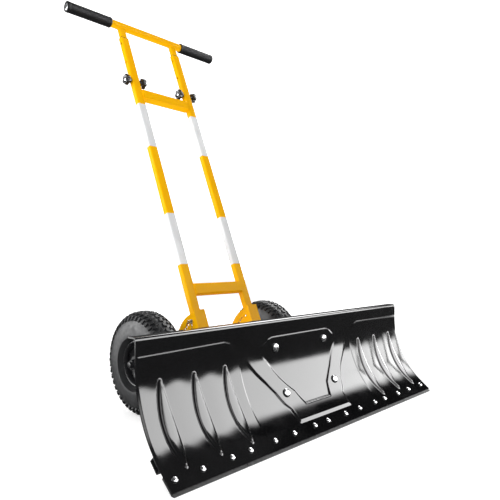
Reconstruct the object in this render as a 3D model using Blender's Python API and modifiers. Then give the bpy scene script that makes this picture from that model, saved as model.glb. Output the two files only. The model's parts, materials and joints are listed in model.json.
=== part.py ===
"""Wheeled snow pusher: a curved steel blade on a two-wheel frame, with a tilting, telescoping T-handle.

Blender 4.5 script. Metres, +Z up. The floor is z = 0 and x = 0 is the plane of symmetry.
The blade's hollow face looks along -Y and the operator stands at +Y. Left is -X, right is +X.
"""

import math

import bmesh
import bpy
from mathutils import Matrix, Vector

# ---- Driving dimensions ------------------------------------------------------------------------
GAP = 0.0003                    # clearance between pieces that touch

# Blade: a sheet rolled from a straight lip, through one arc, to a straight top with a folded flange
BLADE_WIDTH = 0.914
SHEET = 0.0025
LIP_SLOPE = math.radians(40.0)  # lip, from horizontal
LIP_CUT = 0.010                 # bare stretch between the floor line and the sheet's lower edge
STRAIGHT = 0.043                # floor line to the start of the arc, along the sheet
ARC_RADIUS = 0.215
ARC_TURN = math.radians(51.5)
TOP_STRAIGHT = 0.039
TOP_BEND = 0.007
TOP_FLANGE = 0.016

# Shapes pressed forward out of the blade: outlines as (place along the sheet, half width)
RIB_X = (0.247, 0.328, 0.408)
RIB_HIGH = 0.0034
RIB_SLANT = 0.0018              # how much narrower a pressed shape is at its face than at its root
RIB_OUTLINE = ((0.203, 0.0036), (0.195, 0.0058), (0.178, 0.0100), (0.155, 0.0135), (0.125, 0.0150),
               (0.095, 0.0143), (0.070, 0.0110), (0.052, 0.0068), (0.040, 0.0036))
BAND_HIGH = 0.0032
BAND_OUTSIDE = ((0.206, 0.190), (0.192, 0.181), (0.169, 0.163), (0.139, 0.134), (0.122, 0.125),
                (0.094, 0.112), (0.080, 0.101), (0.045, 0.097))
BAND_INSIDE = ((0.214, 0.138), (0.204, 0.130), (0.182, 0.114), (0.154, 0.094), (0.118, 0.060),
               (0.100, 0.052), (0.085, 0.045))

# Rubber scraper strips, clamp bar and carriage bolts along the lip
STRIP_THICK = 0.005
STRIP_TOP = 0.042               # along the sheet, from the floor line
STRIP_LENGTH = 0.248
STRIP_COUNT = 4
STRIP_BOLTS = (0.024, 0.094, 0.154, 0.224)
CLAMP_THICK = 0.003
CLAMP_FROM, CLAMP_TO = 0.016, 0.041
CLAMP_INSET = 0.008
EDGE_BOLT_AT = 0.030
EDGE_BOLT_R = 0.003
EDGE_HEAD_R = 0.0056
EDGE_HEAD_H = 0.0032

# Stiffener behind the blade, and the four bolts that carry the blade
STIFFENER_AT, STIFFENER_WIDE, STIFFENER_DEEP = 0.066, 0.026, 0.012
MOUNT_X = 0.091
MOUNT_BOLTS_AT = (0.117, 0.220)
MOUNT_BOLT_R = 0.004
MOUNT_HEAD_R = 0.0095
MOUNT_HEAD_H = 0.0045
MOUNT_WIDE, MOUNT_THICK = 0.044, 0.005
MOUNT_FROM, MOUNT_TO = 0.098, 0.236

# Wheels and axle
WHEEL_R = 0.130
AXLE_FROM_LIP = 0.4246
WHEEL_X = 0.219
TYRE_HALF = 0.041
TYRE_BEAD_R = 0.052
RIM_HALF = 0.029
RIM_FLANGE_R = 0.0575
HUB_R = 0.021
HUB_HALF = 0.032
AXLE_R = 0.008
AXLE_HALF = 0.268

# Push arms and cross tubes
FRAME_X = 0.0983                # middle of each upright and each push arm
ARM_HIGH = 0.030
TUBE_WALL = 0.0018
CROSS_TUBE = 0.025
CROSS_TUBE_FROM_LIP = 0.2306

# Index brackets: two side plates and a front web each, around the handle's pivot
PIVOT_FROM_LIP = 0.3401
PIVOT_HIGH = 0.160
PIVOT_R = 0.005
PIVOT_HEAD_R = 0.0092
PLATE_THICK = 0.003
PLATE_INSIDE = 0.030
PLATE_R = 0.091
INDEX_R = 0.071
INDEX_HOLE_R = 0.0031
INDEX_STEP = math.radians(7.5)
INDEX_COUNT = 7
PLATE_TURN = math.radians(57.0)
WEB_FRONT = 0.0185              # web's outer face ahead of the upright's middle line
WEB_TOP = 0.097                 # along the upright, from the pivot

# Handle: lengths run along the uprights from the pivot
LEAN = math.radians(21.5)
UPRIGHT_WIDE, UPRIGHT_DEEP = 0.027, 0.016
UPRIGHT_FOOT, UPRIGHT_TOP = 0.012, 0.989
UPRIGHT_WALL = 0.0018
LOWER_BAR_AT, UPPER_BAR_AT = 0.157, 0.7825
BAR_HIGH, BAR_DEEP = 0.030, 0.024
HEIGHT_HOLES_AT = (0.8985, 0.968)
CLAMP_KNOB_AT = 0.829
INNER_WIDE, INNER_DEEP = 0.0224, 0.0114
INNER_WALL = 0.0015
INNER_FOOT = 0.680
EXTENSION = 0.130
T_BAR_AT = 1.041
T_BAR_R = 0.012
T_BAR_HALF = 0.271
GRIP_R = 0.0158
GRIP_FROM, GRIP_TO = 0.134, 0.277
STUD_R = 0.003
KNOB_R, KNOB_THICK = 0.016, 0.012
KNOB_NECK_R, KNOB_NECK = 0.007, 0.0085
KNOB_LOBES = 6

# Lock pins and their pull rings
PIN_R = 0.0028
PIN_PAST_PLATE = 0.001
PIN_COLLAR_R, PIN_COLLAR = 0.0065, 0.004
PIN_TAB_WIDE, PIN_TAB_LONG, PIN_TAB_HIGH = 0.004, 0.009, 0.011
RING_R, RING_WIRE_R = 0.0113, 0.0011

# ---- Values worked out from them ---------------------------------------------------------------
DEPTH = PIVOT_FROM_LIP + T_BAR_AT * math.sin(LEAN) + GRIP_R
LIP_Y = -DEPTH / 2              # puts y = 0 half-way between the lip and the back of the grips
ARC_LENGTH = ARC_RADIUS * ARC_TURN
BLADE_TOP_AT = STRAIGHT + ARC_LENGTH + TOP_STRAIGHT
STRIP_FACE = SHEET + GAP
FLOOR_LINE_Y = LIP_Y - STRIP_FACE / math.sin(LIP_SLOPE)
BLADE_HALF = BLADE_WIDTH / 2
AXLE_Y = LIP_Y + AXLE_FROM_LIP
PIVOT = Vector((0.0, LIP_Y + PIVOT_FROM_LIP, PIVOT_HIGH))
HANDLE = Matrix.Translation(PIVOT) @ Matrix.Rotation(-LEAN, 4, "X")
PLATE_OUT = PLATE_INSIDE / 2 + PLATE_THICK
AXLE_SPACER_FROM = FRAME_X + PLATE_OUT + GAP
HUB_INNER_X = WHEEL_X - HUB_HALF

PARTS = bpy.data.collections.new("wheeled_snow_pusher")
CUTTERS = bpy.data.collections.new("cutters")


# ---- Helpers -----------------------------------------------------------------------------------
def clear_scene():
    for obj in list(bpy.data.objects):
        bpy.data.objects.remove(obj)
    bpy.context.scene.collection.children.link(PARTS)
    bpy.context.scene.collection.children.link(CUTTERS)
    CUTTERS.hide_render = True


def paint(name, colour, roughness, metallic=0.0):
    """A Principled material."""
    made = bpy.data.materials.new(name)
    made.use_nodes = True
    shader = made.node_tree.nodes["Principled BSDF"]
    shader.inputs["Base Color"].default_value = (*colour, 1.0)
    shader.inputs["Roughness"].default_value = roughness
    shader.inputs["Metallic"].default_value = metallic
    return made


def solid(name, bm, material, matrix=None, smooth=False):
    """A part from a bmesh built in its own frame."""
    mesh = bpy.data.meshes.new(name)
    bmesh.ops.recalc_face_normals(bm, faces=bm.faces)
    bm.to_mesh(mesh)
    bm.free()
    obj = bpy.data.objects.new(name, mesh)
    PARTS.objects.link(obj)
    obj.data.materials.append(material)
    if matrix is not None:
        obj.matrix_world = matrix
    if smooth:
        mesh.shade_smooth()
        mesh.set_sharp_from_angle(angle=math.radians(35))
    return obj


def cutter(name, bm, matrix=None):
    mesh = bpy.data.meshes.new(name)
    bmesh.ops.recalc_face_normals(bm, faces=bm.faces)
    bm.to_mesh(mesh)
    bm.free()
    obj = bpy.data.objects.new(name, mesh)
    CUTTERS.objects.link(obj)
    obj.hide_render = True
    obj.display_type = "WIRE"
    if matrix is not None:
        obj.matrix_world = matrix
    return obj


def combine(obj, other, operation):
    modifier = obj.modifiers.new(operation.lower() + "_" + other.name, "BOOLEAN")
    modifier.operation = operation
    modifier.object = other
    modifier.solver = "EXACT"


def cut(obj, other):
    combine(obj, other, "DIFFERENCE")


def join(obj, other):
    combine(obj, other, "UNION")


def add_box(bm, size, centre, turn=None):
    """A box of the given size, turned about its own middle."""
    place = Matrix.Translation(centre) @ (turn or Matrix()) @ Matrix.Diagonal((*size, 1.0))
    bmesh.ops.create_cube(bm, size=1.0, matrix=place)


def add_rod(bm, radius, start, end, sides=16, end_radius=None):
    """A cylinder or cone from start to end."""
    start, end = Vector(start), Vector(end)
    along = end - start
    turn = along.to_track_quat("Z", "Y").to_matrix().to_4x4()
    place = Matrix.Translation((start + end) / 2) @ turn
    bmesh.ops.create_cone(bm, cap_ends=True, segments=sides, radius1=radius,
                          radius2=radius if end_radius is None else end_radius,
                          depth=along.length, matrix=place)


def add_outline(bm, outline, x_from, x_to):
    """A prism along X with the given (y, z) outline."""
    low = [bm.verts.new((x_from, y, z)) for y, z in outline]
    face = bm.faces.new(low)
    grown = bmesh.ops.extrude_face_region(bm, geom=[face])["geom"]
    bmesh.ops.translate(bm, vec=(x_to - x_from, 0, 0),
                        verts=[item for item in grown if isinstance(item, bmesh.types.BMVert)])


def add_stepped(bm, rings, sides=12):
    """A body stepped along Z from rings of (radius, height, hexagonal), both ends capped."""
    rows = []
    for radius, height, hexagonal in rings:
        row = []
        for i in range(sides):
            turned = 2 * math.pi * i / sides
            flat = math.cos(math.pi / 6) if hexagonal and i % 2 else 1.0
            row.append(bm.verts.new((radius * flat * math.cos(turned), radius * flat * math.sin(turned), height)))
        rows.append(row)
    for row, upper in zip(rows, rows[1:]):
        for i in range(sides):
            following = (i + 1) % sides
            bm.faces.new((row[i], row[following], upper[following], upper[i]))
    bm.faces.new(rows[0])
    bm.faces.new(rows[-1])


def box_part(name, size, centre, material, matrix=None):
    bm = bmesh.new()
    add_box(bm, size, centre)
    return solid(name, bm, material, matrix)


def prism_part(name, outline, x_from, x_to, material, matrix=None):
    bm = bmesh.new()
    add_outline(bm, outline, x_from, x_to)
    return solid(name, bm, material, matrix)


def turned_part(name, profile, material, matrix, steps=32, closed=True):
    """A turned shape from a profile of (radius, height) points, with a Screw modifier about local Z."""
    mesh = bpy.data.meshes.new(name)
    points = [(radius, 0.0, height) for radius, height in profile]
    count = len(points)
    edges = [(i, (i + 1) % count) for i in range(count if closed else count - 1)]
    mesh.from_pydata(points, edges, [])
    obj = bpy.data.objects.new(name, mesh)
    PARTS.objects.link(obj)
    obj.data.materials.append(material)
    obj.matrix_world = matrix
    screw = obj.modifiers.new("turn", "SCREW")
    screw.axis = "Z"
    screw.steps = steps
    screw.render_steps = steps
    screw.use_merge_vertices = True
    screw.merge_threshold = 0.00001
    screw.use_smooth_shade = True
    return obj


def along_x(centre, side):
    """The frame of a turned piece: local +Z runs outwards along X on the given side."""
    return Matrix.Translation(centre) @ Matrix.Rotation(side * math.pi / 2, 4, "Y")


def arc(centre, radius, start, end, count):
    """Points on a circle in the (y, z) plane; angles run from +z towards +y."""
    found = []
    for i in range(count + 1):
        angle = start + (end - start) * i / count
        found.append((centre[0] + radius * math.sin(angle), centre[1] + radius * math.cos(angle)))
    return found


# ---- The blade's section ------------------------------------------------------------------------
def blade_frame(at):
    """Point (y, z) on the blade's front face and the sheet's slope there, a distance above the floor line."""
    straight = min(at, STRAIGHT)
    y = FLOOR_LINE_Y + straight * math.cos(LIP_SLOPE)
    z = straight * math.sin(LIP_SLOPE)
    slope = LIP_SLOPE
    if at > STRAIGHT:
        slope += min((at - STRAIGHT) / ARC_RADIUS, ARC_TURN)
        y += ARC_RADIUS * (math.sin(slope) * 1.0 - math.sin(LIP_SLOPE))
        z += ARC_RADIUS * (math.cos(LIP_SLOPE) - math.cos(slope))
    beyond = at - STRAIGHT - ARC_LENGTH
    if beyond > 0:
        y += beyond * math.cos(slope)
        z += beyond * math.sin(slope)
    return y, z, slope


def behind_blade(at, depth=0.0):
    """Point (y, z) a depth behind the blade's front face."""
    y, z, slope = blade_frame(at)
    return y + depth * math.sin(slope), z - depth * math.cos(slope)


def blade_run(first, last, step=0.016):
    """Distances along the sheet with an even step, for following its curve."""
    count = max(1, round((last - first) / step))
    return [first + (last - first) * i / count for i in range(count + 1)]


def band_outline(first, last, near, far):
    """Outline of a flat bar that follows the back of the blade."""
    run = blade_run(first, last)
    return [behind_blade(at, near) for at in run] + [behind_blade(at, far) for at in reversed(run)]


def blade_turn(at):
    """Turn that takes local +Z to the direction square to the blade, pointing forward."""
    slope = blade_frame(at)[2]
    forward = Vector((0.0, -math.sin(slope), math.cos(slope)))
    return forward.to_track_quat("Z", "X").to_matrix().to_4x4()


def edge_bolt_positions():
    """x of each carriage bolt: the strips are laid from the right end, and the last one is cut short."""
    found = []
    for strip in range(STRIP_COUNT):
        left_end = BLADE_HALF - (strip + 1) * STRIP_LENGTH
        for offset in STRIP_BOLTS:
            if left_end + offset > -BLADE_HALF + EDGE_HEAD_R:
                found.append(left_end + offset)
    return sorted(found)


def make_blade(material):
    """Sheet with a flange folded back along the top, open surface made solid by Solidify."""
    section = [behind_blade(LIP_CUT), behind_blade(STRAIGHT)]
    section += [behind_blade(at) for at in blade_run(STRAIGHT, STRAIGHT + ARC_LENGTH)[1:]]
    section.append(behind_blade(BLADE_TOP_AT))
    top_y, top_z, slope = blade_frame(BLADE_TOP_AT)
    centre = (top_y + TOP_BEND * math.sin(slope), top_z - TOP_BEND * math.cos(slope))
    section += arc(centre, TOP_BEND, -slope, 0.0, 4)[1:]
    section.append((section[-1][0] + TOP_FLANGE, section[-1][1]))
    bm = bmesh.new()
    left = [bm.verts.new((-BLADE_HALF, y, z)) for y, z in section]
    edges = [bm.edges.new(pair) for pair in zip(left, left[1:])]
    grown = bmesh.ops.extrude_edge_only(bm, edges=edges)["geom"]
    bmesh.ops.translate(bm, vec=(BLADE_WIDTH, 0, 0),
                        verts=[item for item in grown if isinstance(item, bmesh.types.BMVert)])
    blade = solid("blade", bm, material)
    thick = blade.modifiers.new("sheet", "SOLIDIFY")
    thick.thickness = SHEET
    thick.offset = -1.0 if faces_forward(blade) else 1.0
    thick.use_even_offset = True
    ribs = bmesh.new()
    for x in RIB_X:
        for side in (-1, 1):
            add_raised(ribs, side * x, RIB_OUTLINE, RIB_HIGH)
    join(blade, cutter("blade_ribs", ribs))
    band, middle = bmesh.new(), bmesh.new()
    add_raised(band, 0.0, BAND_OUTSIDE, BAND_HIGH)
    add_raised(middle, 0.0, BAND_INSIDE, 0.02, 0.02)
    band_body = cutter("blade_band", band)
    cut(band_body, cutter("blade_band_middle", middle))
    join(blade, band_body)
    holes = bmesh.new()
    for x in edge_bolt_positions():
        add_hole(holes, x, EDGE_BOLT_AT, EDGE_BOLT_R + GAP)
    for x in (-MOUNT_X, MOUNT_X):
        for at in MOUNT_BOLTS_AT:
            add_hole(holes, x, at, MOUNT_BOLT_R + GAP)
    cut(blade, cutter("blade_holes", holes))
    return blade


def add_raised(bm, x, outline, high, deep=SHEET / 2):
    """A body on the blade's front face with slanted sides, its root sunk a depth into the sheet."""
    rows = []
    for at, half in outline:
        near, far = behind_blade(at, -high), behind_blade(at, deep)
        face = half - RIB_SLANT
        rows.append([bm.verts.new(point) for point in ((x - face, *near), (x + face, *near),
                                                       (x + half, *far), (x - half, *far))])
    for row, following in zip(rows, rows[1:]):
        for i in range(4):
            bm.faces.new((row[i], row[(i + 1) % 4], following[(i + 1) % 4], following[i]))
    bm.faces.new(rows[0])
    bm.faces.new(rows[-1])


def faces_forward(obj):
    """True where the surface's normals look to the hollow side, along -Y."""
    return sum(face.normal.y * face.area for face in obj.data.polygons) < 0


def add_hole(bm, x, at, radius, depth=0.03):
    """A round cutter square to the blade."""
    near = behind_blade(at, -depth)
    far = behind_blade(at, depth)
    add_rod(bm, radius, (x, *near), (x, *far), 12)


def make_strips(material):
    """Rubber strips behind the lip, cut level with the floor."""
    near, far = STRIP_FACE, STRIP_FACE + STRIP_THICK
    foot = [far / math.tan(LIP_SLOPE), near / math.tan(LIP_SLOPE)]
    outline = [behind_blade(foot[1], near), behind_blade(STRIP_TOP, near),
               behind_blade(STRIP_TOP, far), behind_blade(foot[0], far)]
    right = BLADE_HALF
    for number in range(STRIP_COUNT, 0, -1):
        left = max(right - STRIP_LENGTH, -BLADE_HALF)
        strip = prism_part(f"scraper_strip_{number}", outline, left + GAP, right - GAP, material)
        holes = bmesh.new()
        for x in edge_bolt_positions():
            if left < x < right:
                add_hole(holes, x, EDGE_BOLT_AT, EDGE_BOLT_R + GAP)
        cut(strip, cutter(f"scraper_strip_{number}_holes", holes))
        right = left


def make_clamp_bar(material):
    near = STRIP_FACE + STRIP_THICK + GAP
    outline = [behind_blade(CLAMP_FROM, near), behind_blade(CLAMP_TO, near),
               behind_blade(CLAMP_TO, near + CLAMP_THICK), behind_blade(CLAMP_FROM, near + CLAMP_THICK)]
    half = BLADE_HALF - CLAMP_INSET
    bar = prism_part("clamp_bar", outline, -half, half, material)
    holes = bmesh.new()
    for x in edge_bolt_positions():
        add_hole(holes, x, EDGE_BOLT_AT, EDGE_BOLT_R + GAP)
    cut(bar, cutter("clamp_bar_holes", holes))


def bolt_through_blade(name, x, at, radius, head_r, head_h, grip, material, raised=0.0):
    """Carriage bolt with its nut: low domed head at the front, shank through the blade, hex nut behind."""
    nut_r, nut_high = radius * 1.9, radius * 1.6
    seat = raised + 2 * GAP + head_r ** 2 / (2 * ARC_RADIUS)
    bm = bmesh.new()
    add_stepped(bm, [(nut_r, -grip - nut_high, True), (nut_r, -grip, True), (radius, -grip, False),
                     (radius, seat, False), (head_r, seat, False), (head_r, seat + head_h * 0.35, False),
                     (head_r * 0.82, seat + head_h * 0.75, False), (head_r * 0.45, seat + head_h, False)])
    place = Matrix.Translation((x, *behind_blade(at))) @ blade_turn(at)
    solid(name, bm, material, place)


def make_blade_bolts(material):
    edge_grip = STRIP_FACE + STRIP_THICK + GAP + CLAMP_THICK + 2 * GAP
    for number, x in enumerate(edge_bolt_positions(), 1):
        bolt_through_blade(f"edge_bolt_{number:02d}", x, EDGE_BOLT_AT, EDGE_BOLT_R,
                           EDGE_HEAD_R, EDGE_HEAD_H, edge_grip, material)
    mount_grip = SHEET + GAP + MOUNT_THICK + 2 * GAP
    for side, word in ((-1, "left"), (1, "right")):
        for at, place in zip(MOUNT_BOLTS_AT, ("lower", "upper")):
            bolt_through_blade(f"mount_bolt_{word}_{place}", side * MOUNT_X, at, MOUNT_BOLT_R,
                               MOUNT_HEAD_R, MOUNT_HEAD_H, mount_grip, material,
                               BAND_HIGH if place == "lower" else 0.0)


def make_stiffener(material):
    """Rectangular tube along the back of the blade, above the clamp bar."""
    y, z, slope = blade_frame(STIFFENER_AT)
    sag = (STIFFENER_WIDE / 2) ** 2 / (2 * ARC_RADIUS)
    depth = SHEET + GAP + sag + STIFFENER_DEEP / 2
    centre = (0.0, *behind_blade(STIFFENER_AT, depth))
    turn = Matrix.Rotation(slope, 4, "X")
    bm = bmesh.new()
    add_box(bm, (BLADE_WIDTH - 2 * GAP, STIFFENER_WIDE, STIFFENER_DEEP), centre, turn)
    tube = solid("blade_stiffener", bm, material)
    hollow = bmesh.new()
    inside = (BLADE_WIDTH * 1.2, STIFFENER_WIDE - 2 * TUBE_WALL, STIFFENER_DEEP - 2 * TUBE_WALL)
    add_box(hollow, inside, centre, turn)
    cut(tube, cutter("blade_stiffener_inside", hollow))


# ---- Base frame ---------------------------------------------------------------------------------
def make_mounts(material):
    """Bent flat bars behind the blade that the push arms carry."""
    near = SHEET + GAP
    outline = band_outline(MOUNT_FROM, MOUNT_TO, near, near + MOUNT_THICK)
    for side, word in ((-1, "left"), (1, "right")):
        middle = side * MOUNT_X
        bar = prism_part(f"blade_mount_{word}", outline,
                         middle - MOUNT_WIDE / 2, middle + MOUNT_WIDE / 2, material)
        holes = bmesh.new()
        for at in MOUNT_BOLTS_AT:
            add_hole(holes, middle, at, MOUNT_BOLT_R + GAP)
        cut(bar, cutter(f"blade_mount_{word}_holes", holes))


def make_push_arms(material):
    """Rectangular tubes from the blade mounts back to the axle, the front end cut to the mount's curve."""
    low, high = WHEEL_R - ARM_HIGH / 2, WHEEL_R + ARM_HIGH / 2
    front, rear = LIP_Y + 0.06, AXLE_Y + 0.018
    outline = [(front, low), (front, high), (rear, high), (rear, low)]
    fit = band_outline(MOUNT_FROM, MOUNT_TO, -0.12, SHEET + GAP + MOUNT_THICK + GAP)
    wide = PLATE_INSIDE - 2 * GAP
    for side, word in ((-1, "left"), (1, "right")):
        middle = side * FRAME_X
        arm = prism_part(f"push_arm_{word}", outline, middle - wide / 2, middle + wide / 2, material)
        cope = bmesh.new()
        add_outline(cope, fit, middle - wide, middle + wide)
        cut(arm, cutter(f"push_arm_{word}_cope", cope))
        hollow = bmesh.new()
        add_box(hollow, (wide - 2 * TUBE_WALL, 0.6, ARM_HIGH - 2 * TUBE_WALL),
                (middle, AXLE_Y - 0.15, WHEEL_R))
        cut(arm, cutter(f"push_arm_{word}_inside", hollow))
        bore = bmesh.new()
        add_rod(bore, AXLE_R + GAP, (middle - 0.05, AXLE_Y, WHEEL_R), (middle + 0.05, AXLE_Y, WHEEL_R), 20)
        cut(arm, cutter(f"push_arm_{word}_bore", bore))


def make_cross_tubes(material):
    """Square tube near the blade, and the round tube that the axle runs in."""
    half = FRAME_X - PLATE_INSIDE / 2
    y = LIP_Y + CROSS_TUBE_FROM_LIP
    tube = box_part("front_cross_tube", (2 * half, CROSS_TUBE, CROSS_TUBE), (0, y, WHEEL_R), material)
    hollow = bmesh.new()
    inside = CROSS_TUBE - 2 * TUBE_WALL
    add_box(hollow, (2 * half + 0.02, inside, inside), (0, y, WHEEL_R))
    cut(tube, cutter("front_cross_tube_inside", hollow))
    half = FRAME_X - PLATE_OUT - GAP
    sleeve_part("axle_tube", -half, half, AXLE_R + GAP, 0.0135, material)


def sleeve_part(name, x_from, x_to, inner, outer, material, steps=24):
    """A round tube along the axle."""
    half = (x_to - x_from) / 2
    profile = [(outer, half), (outer, -half), (inner, -half), (inner, half)]
    middle = ((x_from + x_to) / 2, AXLE_Y, WHEEL_R)
    turned_part(name, profile, material, along_x(middle, 1), steps)


def index_plate_outline():
    """Side plate seen from the side, as (y, z): straight front edge, round index rim, foot round the axle."""
    along = Vector((math.sin(LEAN), math.cos(LEAN)))
    ahead = Vector((-math.cos(LEAN), math.sin(LEAN)))
    pivot = Vector((PIVOT.y, PIVOT.z))
    foot_z = WHEEL_R - ARM_HIGH / 2 - 0.004
    corner = pivot + along * WEB_TOP + ahead * WEB_FRONT
    step_back = pivot + along * WEB_TOP + ahead * (WEB_FRONT - 0.0065)
    rim_from = LEAN - math.asin((WEB_FRONT - 0.0065) / PLATE_R)
    rim = arc(pivot, PLATE_R, rim_from, LEAN + PLATE_TURN, 14)
    drop = (corner.y - foot_z) / math.cos(LEAN)
    foot_front = corner - along * drop
    axle_foot = arc((AXLE_Y, WHEEL_R), 0.021, math.radians(75), math.radians(145), 3)
    return [tuple(foot_front), tuple(corner), tuple(step_back)] + rim + axle_foot + [(AXLE_Y, foot_z)]


def make_index_brackets(material):
    """A bent bracket on each push arm: two side plates, joined by a web ahead of the upright."""
    outline = index_plate_outline()
    web_foot = (WHEEL_R + ARM_HIGH / 2 + 0.001 - PIVOT.z) / math.cos(LEAN)
    web_back = -WEB_FRONT + PLATE_THICK
    beyond = 0.2
    room = [(-beyond, -beyond), (beyond, -beyond), (beyond, beyond), (web_back, beyond),
            (web_back, web_foot), (-beyond, web_foot)]
    for side, word in ((-1, "left"), (1, "right")):
        middle = side * FRAME_X
        bracket = prism_part(f"index_bracket_{word}", outline,
                             middle - PLATE_OUT, middle + PLATE_OUT, material)
        inside = bmesh.new()
        add_outline(inside, room, middle - PLATE_INSIDE / 2, middle + PLATE_INSIDE / 2)
        cut(bracket, cutter(f"index_bracket_{word}_inside", inside, HANDLE))
        holes = bmesh.new()
        reach = 0.03
        add_rod(holes, PIVOT_R + GAP, (middle - reach, 0, 0), (middle + reach, 0, 0), 16)
        for step in range(INDEX_COUNT):
            turned = step * INDEX_STEP
            y, z = INDEX_R * math.sin(turned), INDEX_R * math.cos(turned)
            add_rod(holes, INDEX_HOLE_R, (middle - reach, y, z), (middle + reach, y, z), 12)
        cut(bracket, cutter(f"index_bracket_{word}_holes", holes, HANDLE))
        bore = bmesh.new()
        add_rod(bore, AXLE_R + GAP, (middle - reach, AXLE_Y, WHEEL_R), (middle + reach, AXLE_Y, WHEEL_R), 20)
        cut(bracket, cutter(f"index_bracket_{word}_bore", bore))


# ---- Wheels -------------------------------------------------------------------------------------
def make_axle(steel, painted):
    place = along_x((0, AXLE_Y, WHEEL_R), 1)
    profile = [(0.0, AXLE_HALF), (AXLE_R - 0.001, AXLE_HALF), (AXLE_R, AXLE_HALF - 0.001),
               (AXLE_R, -AXLE_HALF + 0.001), (AXLE_R - 0.001, -AXLE_HALF), (0.0, -AXLE_HALF)]
    turned_part("axle", profile, steel, place, 20, closed=False)
    for side, word in ((-1, "left"), (1, "right")):
        near = side * AXLE_SPACER_FROM
        far = side * (HUB_INNER_X - GAP)
        sleeve_part(f"axle_spacer_{word}", min(near, far), max(near, far), AXLE_R + GAP, 0.0115, painted)


def tyre_profile():
    """C-shaped casing, open towards the rim: outer skin first from the top down, then the inside."""
    rise = WHEEL_R - TYRE_BEAD_R
    outer = []
    for i in range(11):
        turned = math.pi * i / 10
        across = math.copysign(abs(math.cos(turned)) ** 0.72, math.cos(turned)) * TYRE_HALF
        out = TYRE_BEAD_R + 0.014 + (rise - 0.014) * math.sin(turned) ** 0.72
        outer.append((out, across))
    bead = RIM_HALF - 0.004
    shoulder = RIM_FLANGE_R + 0.0008
    outer = [(shoulder, bead)] + outer + [(shoulder, -bead)]
    inner = [(TYRE_BEAD_R, -bead), (TYRE_BEAD_R, -bead + 0.009)]
    for i in range(7):
        turned = math.pi * (6 - i) / 6
        across = math.cos(turned) * (TYRE_HALF - 0.007)
        out = TYRE_BEAD_R + 0.020 + (rise - 0.031) * math.sin(turned)
        inner.append((out, across))
    inner += [(TYRE_BEAD_R, bead - 0.009), (TYRE_BEAD_R, bead)]
    return outer + inner


def rim_profile():
    """Pressed rim with rolled edges, a flat web and a hub with the axle bore."""
    seat = TYRE_BEAD_R - GAP
    well = seat - 0.010
    wall = 0.0022
    half = RIM_HALF
    return [(RIM_FLANGE_R, half), (RIM_FLANGE_R, half - wall), (seat, half - wall - 0.0005), (seat, 0.014),
            (well, 0.010), (well, -0.010), (seat, -0.014), (seat, -half + wall + 0.0005),
            (RIM_FLANGE_R, -half + wall), (RIM_FLANGE_R, -half), (seat - wall, -half),
            (seat - wall, -0.0150), (well - wall, -0.0110), (well - wall, -0.003), (HUB_R, -0.003),
            (HUB_R, -HUB_HALF), (AXLE_R + GAP, -HUB_HALF), (AXLE_R + GAP, HUB_HALF),
            (HUB_R, HUB_HALF), (HUB_R, 0.003), (well - wall, 0.003), (well - wall, 0.0110),
            (seat - wall, 0.0150), (seat - wall, half)]


def make_wheels(rubber, black, steel):
    for side, word in ((-1, "left"), (1, "right")):
        place = along_x((side * WHEEL_X, AXLE_Y, WHEEL_R), side)
        turned_part(f"tyre_{word}", tyre_profile(), rubber, place, 36)
        turned_part(f"rim_{word}", rim_profile(), black, place, 32)
        nut_at = HUB_HALF + GAP
        nut = [(0.0145, nut_at + 0.002), (0.0145, nut_at), (AXLE_R + GAP, nut_at),
               (AXLE_R + GAP, nut_at + 0.010), (0.0115, nut_at + 0.010), (0.0115, nut_at + 0.002)]
        turned_part(f"axle_nut_{word}", nut, steel, place, 12)


# ---- Handle, built along local +Z from the pivot --------------------------------------------------
def rectangle_tube(name, size, centre, walls, along, material, matrix):
    """A tube of rectangular section, open at both ends of the named axis."""
    tube = box_part(name, size, centre, material, matrix)
    inside = [length - 2 * walls for length in size]
    inside[along] = size[along] + 0.02
    hollow = bmesh.new()
    add_box(hollow, inside, centre)
    cut(tube, cutter(name + "_inside", hollow, matrix))
    return tube


def make_uprights(material):
    tall = UPRIGHT_TOP + UPRIGHT_FOOT
    middle_z = (UPRIGHT_TOP - UPRIGHT_FOOT) / 2
    for side, word in ((-1, "left"), (1, "right")):
        x = side * FRAME_X
        tube = rectangle_tube(f"upright_{word}", (UPRIGHT_WIDE, UPRIGHT_DEEP, tall), (x, 0, middle_z),
                              UPRIGHT_WALL, 2, material, HANDLE)
        bush = bmesh.new()
        half = PLATE_INSIDE / 2 - GAP
        add_rod(bush, 0.0072, (x - half, 0, 0), (x + half, 0, 0), 16)
        join(tube, cutter(f"upright_{word}_bush", bush, HANDLE))
        holes = bmesh.new()
        reach = 0.02
        add_rod(holes, PIVOT_R + GAP, (x - reach, 0, 0), (x + reach, 0, 0), 16)
        add_rod(holes, PIN_R + GAP, (x - reach, 0, INDEX_R), (x + reach, 0, INDEX_R), 12)
        for at in HEIGHT_HOLES_AT + (CLAMP_KNOB_AT,):
            add_rod(holes, STUD_R + GAP, (x - reach, 0, at), (x + reach, 0, at), 12)
        cut(tube, cutter(f"upright_{word}_holes", holes, HANDLE))


def make_crossbars(material):
    length = 2 * (FRAME_X - UPRIGHT_WIDE / 2 - GAP)
    for name, at in (("lower_crossbar", LOWER_BAR_AT), ("upper_crossbar", UPPER_BAR_AT)):
        rectangle_tube(name, (length, BAR_DEEP, BAR_HIGH), (0, 0, at), UPRIGHT_WALL, 0, material, HANDLE)


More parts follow.
